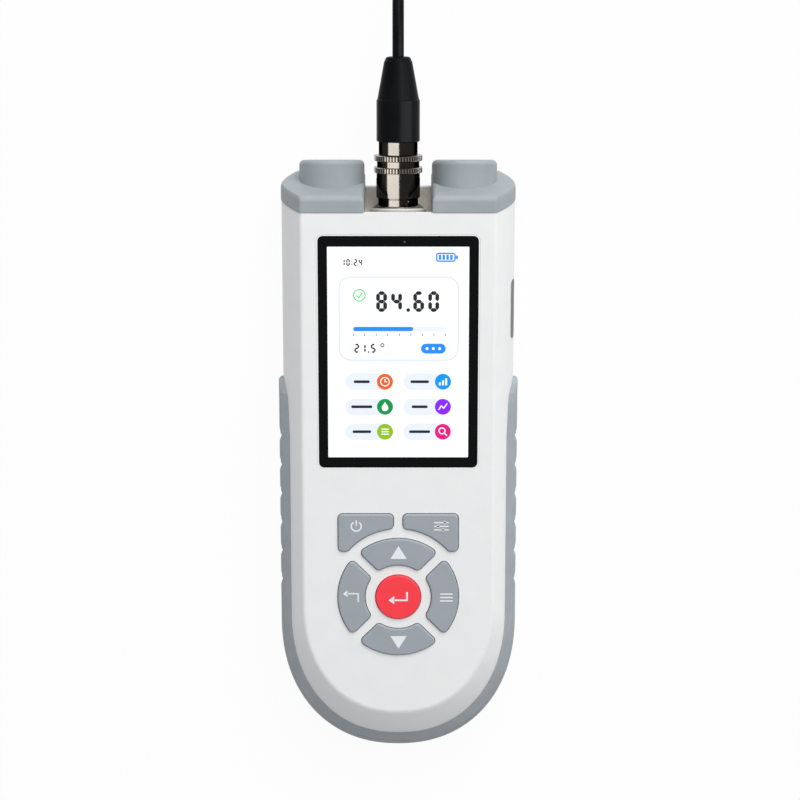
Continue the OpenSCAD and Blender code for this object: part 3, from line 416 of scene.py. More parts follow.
def flat(points, z):
    return [(x, y, z) for x, y in points]


def prism(points, z0, z1):
    return loft([flat(points, z0), flat(points, z1)])


def rounded_box(w, l, r, n=6):
    out = []
    for q, (sx, sy) in enumerate(((1, 1), (-1, 1), (-1, -1), (1, -1))):
        for i in range(n + 1):
            t = math.radians(90 * (q + i / n))
            out.append((sx * (w / 2 - r) + r * math.cos(t), sy * (l / 2 - r) + r * math.sin(t)))
    return out


def disc(x, y, r, n=40):
    return [(x + r * math.cos(2 * math.pi * k / n), y + r * math.sin(2 * math.pi * k / n)) for k in range(n)]


def moved(points, dx, dy):
    return [(x + dx, y + dy) for x, y in points]


def on_slope(points, d):
    """XZ outline laid in the sloped end plane, shifted by d along Y."""
    return [(x, TOP_Y + (CASE_T - z) * math.tan(SLOPE) + d, z) for x, z in points]


def revolve(profile, x=0.0, z=0.0, slant=0.0, n=72):
    """Closed solid turned round an axis along +Y through x, z, capped at both ends. The profile is
    (radius, distance beyond the front top edge) pairs, or with a third value 1 where the slant applies."""
    rings = []
    for r, s, *on in profile:
        r = max(r, 1e-4)
        lean = math.tan(slant) if on else 0
        ways = [2 * math.pi * k / n for k in range(n)]
        rings.append([(x + r * math.sin(a), TOP_Y + s + lean * r * math.cos(a), z + r * math.cos(a))
                      for a in ways])
    return loft(rings)


def turned(profile, x, z, n, relief=lambda a, s: 0.0, slant=0.0):
    """Closed ring turned round an axis along +Y: the profile is a closed loop, as (radius, distance) pairs.
    A third value of 1 says where the slant applies, and 2 where relief lowers the surface."""
    verts, faces = [], []
    for r, s, *on in profile:
        for k in range(n):
            a = 2 * math.pi * k / n
            d = r - (relief(a, s) if on and on[0] == 2 else 0)
            lean = math.tan(slant) * d * math.cos(a) if on and on[0] == 1 else 0
            verts.append((x + d * math.sin(a), TOP_Y + s + lean, z + d * math.cos(a)))
    m = len(profile)
    for i in range(m):
        for k in range(n):
            a, b = i * n, (i + 1) % m * n
            faces.append((a + k, a + (k + 1) % n, b + (k + 1) % n, b + k))
    return verts, faces


def carve(name, base, cuts=(), joins=(), bevel=0.0, segments=2, angle=40, body="case", sharp=30):
    """Boolean pieces in millimetres, then a small bevel, as one mesh in metres that rides on a body."""
    for tool, operation in [(t, "UNION") for t in joins] + [(t, "DIFFERENCE") for t in cuts]:
        mod = base.modifiers.new("cut", "BOOLEAN")
        mod.object = tool
        mod.operation = operation
        mod.solver = "EXACT"
    if bevel:
        mod = base.modifiers.new("edge", "BEVEL")
        mod.width = bevel
        mod.segments = segments
        mod.limit_method = "ANGLE"
        mod.angle_limit = math.radians(angle)
    dg = bpy.context.evaluated_depsgraph_get()
    mesh = bpy.data.meshes.new_from_object(base.evaluated_get(dg))
    mesh.name = name
    mesh.transform(Matrix.Scale(MM, 4))
    for o in [base, *cuts, *joins]:
        bpy.data.objects.remove(o)
    clean = bmesh.new()
    clean.from_mesh(mesh)
    bmesh.ops.remove_doubles(clean, verts=clean.verts, dist=2e-6)
    bmesh.ops.recalc_face_normals(clean, faces=clean.faces)
    clean.to_mesh(mesh)
    clean.free()
    return finish_mesh(name, mesh, body, sharp)


def dress(obj, mat, slot=None, *nodes):
    obj.data.materials.clear()
    obj.data.materials.append(mat)
    if nodes:
        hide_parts(*nodes)
    return obj


# Key outlines
KEY_R = 1.6
KEY_GAP = 1.8
ENTER_R = 8.0


def blob(centres, edges, r, n=6):
    """Outline of corners of radius r about the centres, joined by lines (None) or by arcs about a point.
    An arc is (x, y, side): side 1 bulges outwards, side -1 is hollow."""
    def normal(i, at_end):
        a, b = centres[i], centres[(i + 1) % len(centres)]
        if edges[i] is None:
            return math.atan2(a[0] - b[0], b[1] - a[1])
        p = b if at_end else a
        return math.atan2(edges[i][2] * (p[1] - edges[i][1]), edges[i][2] * (p[0] - edges[i][0]))

    out = []
    for i, c in enumerate(centres):
        w0, w1 = normal(i - 1, True), normal(i, False)
        while w1 < w0:
            w1 += 2 * math.pi
        out += [(c[0] + r * math.cos(w0 + (w1 - w0) * k / n), c[1] + r * math.sin(w0 + (w1 - w0) * k / n))
                for k in range(n + 1)]
        if edges[i] is not None:
            x, y, side = edges[i]
            d = centres[(i + 1) % len(centres)]
            b0, b1 = math.atan2(c[1] - y, c[0] - x), math.atan2(d[1] - y, d[0] - x)
            turn = (b1 - b0 + math.pi) % (2 * math.pi) - math.pi
            rho = math.hypot(c[0] - x, c[1] - y) + side * r
            out += [(x + rho * math.cos(b0 + turn * k / 20), y + rho * math.sin(b0 + turn * k / 20))
                    for k in range(1, 20)]
    return out


def ring_key(turn, grow):
    """One of the four keys round the enter key; turn 0 is the right-hand one."""
    def corner(rho, side):
        d = KEY_GAP + KEY_R
        s = math.sqrt(rho * rho - d * d)
        x, y = (s + d) / math.sqrt(2), (s - d) / math.sqrt(2)
        return (x, side * y)

    inner, outer = 11.8 + KEY_R, 21.4 - KEY_R
    pts = blob([corner(inner, -1), corner(outer, -1), corner(outer, 1), corner(inner, 1)],
               [None, (0, 0, 1), None, (0, 0, -1)], KEY_R + grow)
    c, s = math.cos(turn), math.sin(turn)
    return [(x * c - y * s, RING_Y + x * s + y * c) for x, y in pts]


def pair_key(side, grow):
    """One of the two upper keys, with a hollow edge round the ring of keys; side is -1 or 1."""
    x0, x1, hollow, middle = 1.7 + KEY_R, 21.2 - KEY_R, 23.3 + KEY_R, RING_Y + 1.8
    top, low = PAIR_Y - KEY_R, PAIR_Y - 13.6 + KEY_R
    foot = math.sqrt(hollow ** 2 - (low - middle) ** 2)
    left = middle + math.sqrt(hollow ** 2 - x0 ** 2)
    pts = blob([(x0, left), (foot, low), (x1, low), (x1, top), (x0, top)],
               [(0, middle, -1), None, None, None, None], KEY_R + grow)
    return pts if side > 0 else [(-x, y) for x, y in reversed(pts)]


def enter_key(grow):
    return disc(0, RING_Y, ENTER_R + grow, 72)


KEYS = {
    "power": lambda g: pair_key(-1, g),
    "calibrate": lambda g: pair_key(1, g),
    "right": lambda g: ring_key(0, g),
    "up": lambda g: ring_key(math.pi / 2, g),
    "left": lambda g: ring_key(math.pi, g),
    "down": lambda g: ring_key(-math.pi / 2, g),
    "enter": enter_key,
}

# Shells
ROOF_Z = CASE_T - WALL
CREASE = 0.9
SHELL_T, LIP_T = 2.5, 1.0
PANEL_IN, PANEL_DEEP = 1.5, 3.4
SEAT, SEAT_DEEP = 0.5, 1.4
SCREEN_GAP, KEY_RUN = 0.8, 0.25
# Recess of the port flap and opening of the charging port: width, height, corner radius
PORT_RECESS, PORT_HOLE = (21.0, 5.4, 2.0), (10.0, 3.4, 0.3)


def front_rings():
    low, high = SPLIT_Z + 0.05, CASE_T - CREASE * 0.8
    rings = [flat(plan(low + (high - low) * (i / 9)), low + (high - low) * (i / 9)) for i in range(10)]
    a, b, c = plan(CASE_T, -CREASE), plan(CASE_T), plan(high)
    for k in (1, 2, 3, 4, 5):
        t = k / 5
        ring = []
        for p, q, r in zip(c, b, a):
            x, y = [(1 - t) ** 2 * u + 2 * t * (1 - t) * v + t * t * w for u, v, w in zip(p, q, r)]
            ring.append((x, y, (1 - t) ** 2 * high + (2 * t * (1 - t) + t * t) * CASE_T))
        rings.append(ring)
    return rings


def beyond_end():
    """Block of all that lies past the sloped end plane."""
    reach, over = 60, 20
    side = [(TOP_Y + reach * math.tan(SLOPE), CASE_T - reach),
            (TOP_Y - over * math.tan(SLOPE), CASE_T + over),
            (TOP_Y + reach, CASE_T + over), (TOP_Y + reach, CASE_T - reach)]
    return loft([[(x, y, z) for y, z in side] for x in (-reach, reach)])


def cavity(z0, z1, low, high, inset):
    """Room inside a shell, from z0 to z1, with the outline held between the heights low and high."""
    zs = [z0 + (z1 - z0) * i / 6 for i in range(7)]
    return loft([flat(plan(min(max(z, low), high), -inset), z) for z in zs])


def panel_room(z0, z1):
    """Room for the connector panel in the sloped end."""
    ring = section(-PANEL_IN, z0, z1)
    return loft([on_slope(ring, -PANEL_DEEP), on_slope(ring, 20)])


def window_room(grow, r, z0):
    return prism(moved(rounded_box(WINDOW_W + 2 * grow, WINDOW_L + 2 * grow, r), 0, WINDOW_Y), z0, CASE_T + 1)


def side_room(w, h, r, x0):
    """Opening in the right side at the charging port, from x0 outwards."""
    ring = moved(rounded_box(w, h, r), PORT_Y, PORT_Z)
    return loft([[(x, y, z) for y, z in ring] for x in (x0, CASE_W / 2 + 4)])


cuts = [beyond_end(), cavity(SPLIT_Z - 1, ROOF_Z, SPLIT_Z, ROOF_Z, SHELL_T + LIP_T),
        panel_room(SPLIT_Z - 1, CASE_T - PANEL_IN), window_room(SEAT, WINDOW_R + SEAT, CASE_T - SEAT_DEEP),
        prism(moved(rounded_box(WINDOW_W - 2 * BORDER_SIDE + 2 * SCREEN_GAP,
                                WINDOW_L - 2 * BORDER_END + 2 * SCREEN_GAP, 1.0), 0, WINDOW_Y),
              ROOF_Z - 1, CASE_T + 1)]
cuts += [prism(outline(KEY_RUN), ROOF_Z - 1, CASE_T + 1) for outline in KEYS.values()]
cuts.append(side_room(*PORT_RECESS, CASE_W / 2 - PORT_DEEP))
cuts.append(side_room(*PORT_HOLE, CASE_W / 2 - PORT_HOLE_DEEP))
front = carve("shell_front", loft(front_rings()), cuts, bevel=0.28)
dress(front, WHITE, "white_shell", "front_shell")

# Rounded lower edge as (height, growth) pairs, screw holes as (x, distance) pairs
LOW_EDGE = [(0.0, -1.0), (0.1, -0.45), (0.35, -0.12), (0.8, 0)]
SCREWS = [(31, 12), (31, 97), (24, 165)]
SCREW_HOLE_R, SCREW_HOLE_Z = 2.9, 2.6
LABEL, LABEL_AT, LABEL_DEEP = (50, 34, 3), 128, 0.35
rear_side = [(0.8 + (SPLIT_Z - 0.85) * i / 8, 0) for i in range(1, 9)]
rear_rings = [flat(plan(z, g), z) for z, g in LOW_EDGE + rear_side]
cuts = [beyond_end(), cavity(WALL, SPLIT_Z + 1, WALL, SPLIT_Z - 0.01, SHELL_T),
        panel_room(PANEL_IN, SPLIT_Z + 1),
        prism(moved(rounded_box(*LABEL), 0, TOP_Y - LABEL_AT), -1, LABEL_DEEP)]
cuts += [prism(disc(side * x, TOP_Y - t, SCREW_HOLE_R), -1, SCREW_HOLE_Z)
         for x, t in SCREWS for side in (-1, 1)]
rear = carve("shell_rear", loft(rear_rings), cuts, bevel=0.28)
dress(rear, WHITE, "white_shell", "rear_shell")

# Bumper. Its tip's half height as (distance from the tip, half height) pairs
TIP = [(0, 1.8), (2.4, 4.6), (5, 6.8), (8.5, 7.5), (20, BUMPER_HALF)]
NOTCHES = [81 + 10.6 * i for i in range(6)]
NOTCH_UP, NOTCH_DOWN, NOTCH_DEEP = 3.1, 2.2, 1.15


def tip_half(d):
    for (a, h), (b, k) in zip(TIP, TIP[1:]):
        if d <= b:
            t = (d - a) / (b - a)
            return h + (k - h) * t
    return BUMPER_HALF


def notch(t):
    """Depth of the grip notches at a distance t from the front top edge."""
    for c in NOTCHES:
        if -NOTCH_UP < t - c < NOTCH_DOWN:
            u = (t - c) / NOTCH_DOWN if t > c else (c - t) / NOTCH_UP
            return NOTCH_DEEP * (1 - u) ** 1.15
    return 0.0


# Cross-section of the bumper: share of its half height, how far it stands out
BULGE = [(1, 0.05), (0.98, 0.35), (0.74, 1.80), (0.70, 1.84), (0.45, 1.75), (0.2, 1.65), (0, BUMPER_T)]
INNER_GAP = 0.04
LEAN_FROM = 137.5
straight_end = CASE_L - ROUND_L


def bumper_section(side, along):
    """One cross-section. On a straight side, along is a distance from the front top edge, and the last
    few lean over into the round end, where along is an angle."""
    h = tip_half(along - BUMPER_AT) if side else BUMPER_HALF
    start = min(1, 0.5 + (along - BUMPER_AT) / 1.6) if side else 1
    lean = max(0.0, (along - LEAN_FROM) / (straight_end - LEAN_FROM)) if side else 0
    outer, inner = [], []
    for v, g in BULGE + [(-v, g) for v, g in BULGE[-2::-1]]:
        z = SPLIT_Z + h * v
        if side:
            reach = CASE_W / 2 + BUMPER_T - notch(along) - half_at(z)
            g = max(0.1, min(g * start, reach))
            foot = end_at(z) + round_at(z) - g * lean
            y = TOP_Y - along if lean == 0 else TOP_Y - LEAN_FROM + lean * (foot - TOP_Y + LEAN_FROM)
            outer.append((side * (half_at(z) + g), y, z))
            inner.append((side * (half_at(z) + INNER_GAP), y, z))
        else:
            outer.append((*round_point(z, g, along), z))
            inner.append((*round_point(z, INNER_GAP, along), z))
    return outer + inner[::-1]


steps = int((straight_end - BUMPER_AT) / 0.5)
down = [BUMPER_AT + (straight_end - BUMPER_AT) * (i / steps) for i in range(steps)]
rings = [bumper_section(-1, t) for t in down]
rings += [bumper_section(0, math.pi * (1 + i / 96)) for i in range(97)]
rings += [bumper_section(1, t) for t in reversed(down)]
bumper = carve("bumper", loft(rings), bevel=0.0, sharp=14)
dress(bumper, RUBBER, "grey_rubber", "side_bumper")

# Socket covers


def collar_s(i):
    """Distance of a collar's face from the front top edge."""
    return 0.2 if i == 1 else (CASE_T - SOCKETS[i][1]) * math.tan(SLOPE) - 1


def corner_round(points, r, n=5):
    """Rounds the corners of a closed outline that turn by more than 40 degrees."""
    out = []
    m = len(points)
    for i, p in enumerate(points):
        a, b = points[i - 1], points[(i + 1) % m]
        u = Vector((a[0] - p[0], a[1] - p[1]))
        v = Vector((b[0] - p[0], b[1] - p[1]))
        if u.length < 1e-6 or v.length < 1e-6 or math.pi - u.angle(v) < math.radians(40):
            out.append(p)
            continue
        u.normalize()
        v.normalize()
        for k in range(n + 1):
            t = k / n
            q = Vector(p) + u * r * (1 - t) ** 2 + v * r * t ** 2
            out.append((q.x, q.y))
    return out


def cover_layer(s, d, e):
    """Outline of a cover on the side s, at the distance d from the end plane, drawn in by e."""
    pts = corner_round(section(0.2 - 0.4 * e, 0.4 + e, CASE_T + 0.2 - e, 24, 11.7 + e), 0.8)
    return on_slope([(s * x, z) for x, z in pts], d)


COVER_EDGE = [(0.2, 0), (3.9, 0), (4.5, 0.1), (5.0, 0.3), (5.4, 0.6), (5.7, 1.0), (5.85, 1.35), (5.9, 1.7)]
BOSS_R, BOSS_IN, BOSS_ROUND, BOSS_MID, BOSS_SLANT = 11.5, 9.6, 1.8, 14.68, math.radians(5.5)
# Hollow of a cover: a wide part round the collar and a narrow one round the socket
WIDE_GAP, WIDE_DEEP, NARROW_R, NARROW_DEEP = 0.3, 1.31, 6.0, 10.9
for name, s, i in (("left", -1, 0), ("right", 1, 2)):
    x, z = SOCKETS[i]
    slab = loft([cover_layer(s, d, e) for d, e in COVER_EDGE])
    arc = [(BOSS_IN + BOSS_ROUND * math.cos(w), BOSS_MID + BOSS_ROUND * math.sin(w), 1)
           for w in [math.pi / 2 * k / 8 for k in range(9)]]
    boss = revolve([(0, 2), (BOSS_R, 2)] + arc + [(0, BOSS_MID + BOSS_ROUND, 1)], x, z, BOSS_SLANT, n=96)
    wide, step, floor_s = COLLAR_R + WIDE_GAP, collar_s(i) + WIDE_DEEP, collar_s(i) + NARROW_DEEP
    hollow = revolve([(0, -8), (wide, -8), (wide, step), (NARROW_R, step), (NARROW_R, floor_s), (0, floor_s)],
                     x, z)
    cover = carve("cover_" + name, slab, [hollow], [boss], bevel=0.3, segments=3, angle=35,
                  body=name + "_cover")
    dress(cover, COVER, "grey_rubber", "socket_cover_" + name)

# Collars of the sockets, with a rounded rim
for i, name in enumerate(("left", "middle", "right")):
    x, z = SOCKETS[i]
    c = collar_s(i)
    rim = [(COLLAR_R - 0.35 + 0.35 * math.cos(w), c - 0.35 + 0.35 * math.sin(w), 1)
           for w in [math.pi / 2 * k / 5 for k in range(6)]]
    profile = [(4.85, c - 5.2), (COLLAR_R - 0.3, c - 5.2), (COLLAR_R - 0.3, c - 1.2, 1)]
    profile += [(COLLAR_R - 0.05, c - 1.05, 1), (COLLAR_R, c - 0.9, 1)] + rim
    profile += [(7.6, c, 1), (7.4, c - 0.12, 1), (4.85, c - 0.12, 1)]
    verts, faces = turned(profile, x, z, 96, slant=math.radians(6))
    ring = solid("collar_" + name, verts, faces, "case", sharp=40)
    dress(ring, COLLAR, "collar_metal", "socket_collars")

# Plug
TEETH = 50
KNURLS = [("near", 12.8), ("far", 16.9)]
RAMP_FROM, RAMP_ANGLE, RAMP_RISE = 4.3, 25, 10


def sleeve_relief(a, s):
    """How far the surface is lowered: gaps of the knurled rings, and the notch of the bayonet's pin."""
    if s >= KNURLS[0][1]:
        return 0.5 * max(0.0, math.cos(a * TEETH))
    turn = math.degrees((a + math.pi) % (2 * math.pi) - math.pi)
    if 1.5 < s < 4.0:
        path = 23 + 7 * math.sin((s - 2.8) * 2.6)
        return 0.35 * max(0.0, 1 - abs(turn - path) / 3.2) ** 0.5
    return 0.0


def knurl(s):
    """Profile of a knurled ring that starts at the distance s."""
    foot, edge, top, chamfer, width = 6.9, 8.15, 8.4, 0.22, 1.95
    return [(foot, s), (edge, s, 2), (top, s + chamfer, 2), (top, s + width - chamfer, 2),
            (edge, s + width, 2), (foot, s + width)]


def ramp_plate(side):
    """Thin curved plate beside the sloping edge of the bayonet's ramp."""
    rows, cols, verts, faces = 17, 13, [], []
    for r in (7.6, 7.3):
        for i in range(rows):
            s = RAMP_FROM + 0.05 + 0.4 * i
            edge = RAMP_ANGLE + (s - RAMP_FROM) * RAMP_RISE
            for k in range(cols):
                a = math.radians(side * (edge + (100 - edge) * k / (cols - 1)))
                verts.append((r * math.sin(a), TOP_Y + s, PLUG_Z + r * math.cos(a)))
    n = rows * cols
    for i in range(rows - 1):
        for k in range(cols - 1):
            a = i * cols + k
            faces += [(a, a + 1, a + cols + 1, a + cols), (n + a, n + a + cols, n + a + cols + 1, n + a + 1)]
    rim = [k for k in range(cols)] + [i * cols + cols - 1 for i in range(1, rows)]
    rim += [(rows - 1) * cols + k for k in range(cols - 2, -1, -1)]
    rim += [i * cols for i in range(rows - 2, 0, -1)]
    for a, b in zip(rim, rim[1:] + rim[:1]):
        faces.append((b, a, n + a, n + b))
    return verts, [f if side > 0 else f[::-1] for f in faces]


profile = [(5.95, 1.3), (6.75, 1.3), (6.95, 1.5)]
profile += [(6.95, 1.5 + 0.25 * k, 2) for k in range(1, 10)]
profile += [(6.72, 3.85), (6.72, 4.1), (7.45, 4.15), (7.55, 4.3)]
profile += [(7.5, 12.79), (7.35, 12.8), (7.35, 18.8), (4.75, 18.8), (4.75, 15.4), (5.95, 15.4)]
verts, faces = turned(profile, 0, PLUG_Z, 200, sleeve_relief)
# The sleeve takes the darkened metal, whose darkness is partly a painted dark reflection.
sleeve = solid("coupling_sleeve", verts, faces, "coupling", sharp=25)
dress(sleeve, NICKEL_PAINTED_DARK, "dark_nickel", "plug_sleeve")
knurls = []
# The knurled rings take the lighter copy of the metal, a painted glint.
for name, s in KNURLS:
    verts, faces = turned(knurl(s), 0, PLUG_Z, TEETH * 8, sleeve_relief)
    ring = solid("coupling_knurl_" + name, verts, faces, "coupling", sharp=25)
    knurls.append(dress(ring, KNURL_PAINTED_GLINT, "dark_nickel"))
# The ramp plates take the lighter copy of the metal, a painted sheen.
for name, side in (("left", -1), ("right", 1)):
    verts, faces = ramp_plate(side)
    dress(solid("coupling_ramp_" + name, verts, faces, "coupling"), RAMP_PAINTED_SHEEN, "dark_nickel")

# Keys
KEY_TOP = CASE_T + 1.0
FLANGE, KEY_EDGE = 0.85, 0.55
for name, outline in KEYS.items():
    foot, stem = outline(FLANGE), outline(0)
    rings = [flat(foot, ROOF_Z - 1.3), flat(foot, ROOF_Z - 0.3), flat(stem, ROOF_Z - 0.28)]
    rings += [flat(stem, KEY_TOP - KEY_EDGE)]
    for k in range(1, 6):
        w = math.pi / 2 * k / 5
        rings.append(flat(outline(-KEY_EDGE * (1 - math.cos(w))), KEY_TOP - KEY_EDGE * (1 - math.sin(w))))
    mat, slot_name = (RED, "key_red") if name == "enter" else (KEY, "key_grey")
    key = carve("key_top_" + name, loft(rings), bevel=0, body=name + "_button", sharp=40)
    dress(key, mat, slot_name, "key_" + name)

# Thin printed shapes
def plates(name, shapes, z0, z1, mat, slot, body="case"):
    """Flat shapes from z0 to z1. A shape is an outline, or an (outer, inner) pair of equal length."""
    verts, faces = [], []
    for shape in shapes:
        rings = [shape] if isinstance(shape, list) else list(shape)
        n, at = len(rings[0]), len(verts)
        for ring in rings:
            verts += flat(ring, z0) + flat(ring, z1)
        for r in range(len(rings)):
            for i in range(n):
                j = (i + 1) % n
                low, high = at + 2 * n * r, at + 2 * n * r + n
                faces.append((low + i, low + j, high + j, high + i))
        if len(rings) == 1:
            faces += [tuple(at + i for i in range(n)), tuple(at + n + i for i in range(n))]
        else:
            for i in range(n):
                j = (i + 1) % n
                faces.append((at + i, at + j, at + 2 * n + j, at + 2 * n + i))
                faces.append((at + n + i, at + n + j, at + 3 * n + j, at + 3 * n + i))
    obj = solid(name, verts, faces, body)
    tidy = bmesh.new()
    tidy.from_mesh(obj.data)
    bmesh.ops.recalc_face_normals(tidy, faces=tidy.faces)
    tidy.to_mesh(obj.data)
    tidy.free()
    return dress(obj, mat, slot)


def hoop(x, y, r, w, n=48):
    return disc(x, y, r + w / 2, n), disc(x, y, r - w / 2, n)


def bar(x, y, w, h, r=None):
    """Rounded bar with its middle at x, y."""
    r = min(w, h) / 2 - 0.001 if r is None else r
    return moved(rounded_box(w, h, r), x, y)


def frame_of(x, y, w, h, r, line):
    return bar(x, y, w, h, r), bar(x, y, w - 2 * line, h - 2 * line, r - line)


def stroke(points, w):
    """A line of width w through the points, with mitred bends."""
    left, right = [], []
    for i, p in enumerate(points):
        u = Vector(points[max(i, 1)]) - Vector(points[max(i, 1) - 1])
        v = Vector(points[min(i + 1, len(points) - 1)]) - Vector(points[min(i + 1, len(points) - 1) - 1])
        u.normalize()
        v.normalize()
        m = Vector((-u.y - v.y, u.x + v.x)).normalized()
        m *= w / 2 / max(0.3, m.dot(Vector((-u.y, u.x))))
        left.append((p[0] + m.x, p[1] + m.y))
        right.append((p[0] - m.x, p[1] - m.y))
    return left + right[::-1]


def arc_line(x, y, r, a0, a1, w, n=24):
    ws = [math.radians(a0 + (a1 - a0) * k / n) for k in range(n + 1)]
    return stroke([(x + r * math.cos(t), y + r * math.sin(t)) for t in ws], w)


SEGMENTS = {"0": "abcdef", "1": "bc", "2": "abged", "3": "abgcd", "4": "fgbc", "5": "afgcd", "6": "afgedc",
            "7": "abc", "8": "abcdefg", "9": "abcdfg"}


def digits(text, x, y, h):
    """Seven-segment figures, their foot at y, the first one's left edge at x."""
    w, line = 0.52 * h, 0.18 * h
    out = []
    for ch in text:
        if ch in ".:":
            out.append(disc(x + 0.1 * h, y + 0.09 * h, 0.09 * h, 20))
            if ch == ":":
                out[-1] = disc(x + 0.1 * h, y + 0.25 * h, 0.08 * h, 20)
                out.append(disc(x + 0.1 * h, y + 0.7 * h, 0.08 * h, 20))
            x += 0.34 * h
            continue
        l, r, low, mid, top = x + line / 2, x + w - line / 2, y + line / 2, y + h / 2, y + h - line / 2
        gap = line * 0.54
        ends = {"a": (l, top, r, top), "g": (l, mid, r, mid), "d": (l, low, r, low), "f": (l, mid, l, top),
                "b": (r, mid, r, top), "e": (l, low, l, mid), "c": (r, low, r, mid)}
        for s in SEGMENTS[ch]:
            x0, y0, x1, y1 = ends[s]
            dx, dy = (gap, 0) if y0 == y1 else (0, gap)
            a, b = (x0 + dx, y0 + dy), (x1 - dx, y1 - dy)
            p, q = (line / 2, 0) if dx else (0, line / 2), (0, line / 2) if dx else (line / 2, 0)
            out.append([(a[0] - p[0], a[1] - p[1]), (a[0] + q[0], a[1] + q[1]), (b[0] + q[0], b[1] + q[1]),
                        (b[0] + p[0], b[1] + p[1]), (b[0] - q[0], b[1] - q[1]), (a[0] - q[0], a[1] - q[1])])
        x += w + 0.2 * h
    return out


# Display window with a light edge line, the lit screen and what it shows


def window_ring(grow, r=WINDOW_R):
    return bar(0, WINDOW_Y, WINDOW_W + 2 * grow, WINDOW_L + 2 * grow, r + grow)


def window_hole(grow=0.0):
    w, l = WINDOW_W - 2 * BORDER_SIDE, WINDOW_L - 2 * BORDER_END
    return bar(0, WINDOW_Y, w + 2 * grow, l + 2 * grow, 0.3 + grow)


TOP_Z = CASE_T - 0.05
WINDOW_LAYERS = [(0, TOP_Z - 1.3), (0, TOP_Z - 0.25), (-0.07, TOP_Z - 0.08), (-0.25, TOP_Z)]
verts, faces = [], []
for g, z in WINDOW_LAYERS:
    verts += flat(window_ring(g), z)
for z in (TOP_Z, TOP_Z - 1.3):
    verts += flat(window_hole(), z)
n = len(window_hole())
rows = len(verts) // n
for i in range(rows):
    here, beyond = i * n, (i + 1) % rows * n
    for k in range(n):
        j = (k + 1) % n
        faces.append((here + k, here + j, beyond + j, beyond + k))
dress(solid("window", verts, faces, "case"), GLASS, "window_glass", "display_window")
plates("window_rim", [(window_ring(0.42), window_ring(0.03))], CASE_T - 1.35, CASE_T + 0.02, RIM,
       "white_shell")

SCREEN_Z = TOP_Z - 0.1
lit = prism(window_hole(-0.02), TOP_Z - 1.3, SCREEN_Z)
dress(carve("screen", lit, sharp=30), SCREEN, "display")


def below(t):
    return TOP_Y - t


def ink(name, *rgb):
    return material("ink_" + name, srgb(*rgb), 0.35, tone=0.015, tone_mm=3, grain_mm=0.12, grain=0.03,
                    shine=0.2, glow=0.15)


INK = ink("dark", 28, 30, 34)
BLUE = ink("blue", 40, 140, 250)
PALE_BLUE = ink("pale", 231, 237, 250)
LINE_BLUE = ink("line", 214, 222, 244)
GREEN = ink("green", 90, 215, 120)
SHINE = ink("white", 250, 252, 255)
SENSOR = material("sensor", srgb(62, 64, 70), 0.2, tone=0.2, tone_mm=0.4, grain=0.0)
# Layers of what the screen shows, each from one height to another
LOW = (SCREEN_Z - 0.03, SCREEN_Z + 0.02)
MIDDLE = (SCREEN_Z, SCREEN_Z + 0.045)
HIGH = (SCREEN_Z, SCREEN_Z + 0.07)

# Clock and battery sign in the top line
plates("clock_digits", digits("10:24", -19.6, below(18.2), 2.4), *LOW, INK, "display")
battery_sign = [frame_of(16.4, below(15.2), 6.8, 3.2, 0.9, 0.5), bar(20.2, below(15.2), 0.7, 1.3)]
battery_sign += [bar(14.4 + 1.3 * k, below(15.2), 0.85, 1.75, 0.15) for k in range(4)]
plates("battery_sign", battery_sign, *LOW, BLUE, "display")

# Card with the reading, a scale and the temperature
plates("card_edge", [frame_of(0.2, below(36.6), 41.6, 29.5, 4.2, 0.4)], *LOW, LINE_BLUE, "display")
plates("reading_digits", digits("84.60", -7.6, below(34.2), 7.2), *LOW, INK, "display")
plates("scale_track", [bar(0.2, below(40.2), 31.6, 1.5)], *LOW, PALE_BLUE, "display")
plates("scale_level", [bar(-5.2, below(40.2), 20.8, 1.5)], *MIDDLE, BLUE, "display")
plates("scale_marks", [bar(-15.6 + 4 * k, below(42.2), 0.22, 0.9) for k in range(9)], *LOW, INK, "display")
plates("temperature_digits", digits("21.5", -15.2, below(48.6), 3.2) + [hoop(-5.5, below(45.9), 0.55, 0.3)],
       *LOW, INK, "display")
plates("state_ring", [hoop(-13.4, below(28.4), 2.0, 0.4),
                      stroke([(-14.4, below(28.4)), (-13.6, below(29.2)), (-12.3, below(27.5))], 0.4)],
       *LOW, GREEN, "display")
plates("unit_tag", [bar(12.2, below(47.1), 8.6, 3.5)], *LOW, BLUE, "display")
plates("unit_dots", [disc(10.0 + 2.2 * k, below(47.1), 0.5) for k in range(3)], *MIDDLE, SHINE, "display")

# Six entries of the menu: a pale pill, a dark line, a coloured disc at its right-hand end
HUES = [("orange", (235, 95, 35)), ("blue", (15, 150, 238)), ("green", (20, 145, 70)),
        ("violet", (138, 35, 245)), ("lime", (142, 190, 28)), ("rose", (228, 22, 128))]
DISC_R, PILL_W, PILL_H = 2.8, 16.6, 6.0


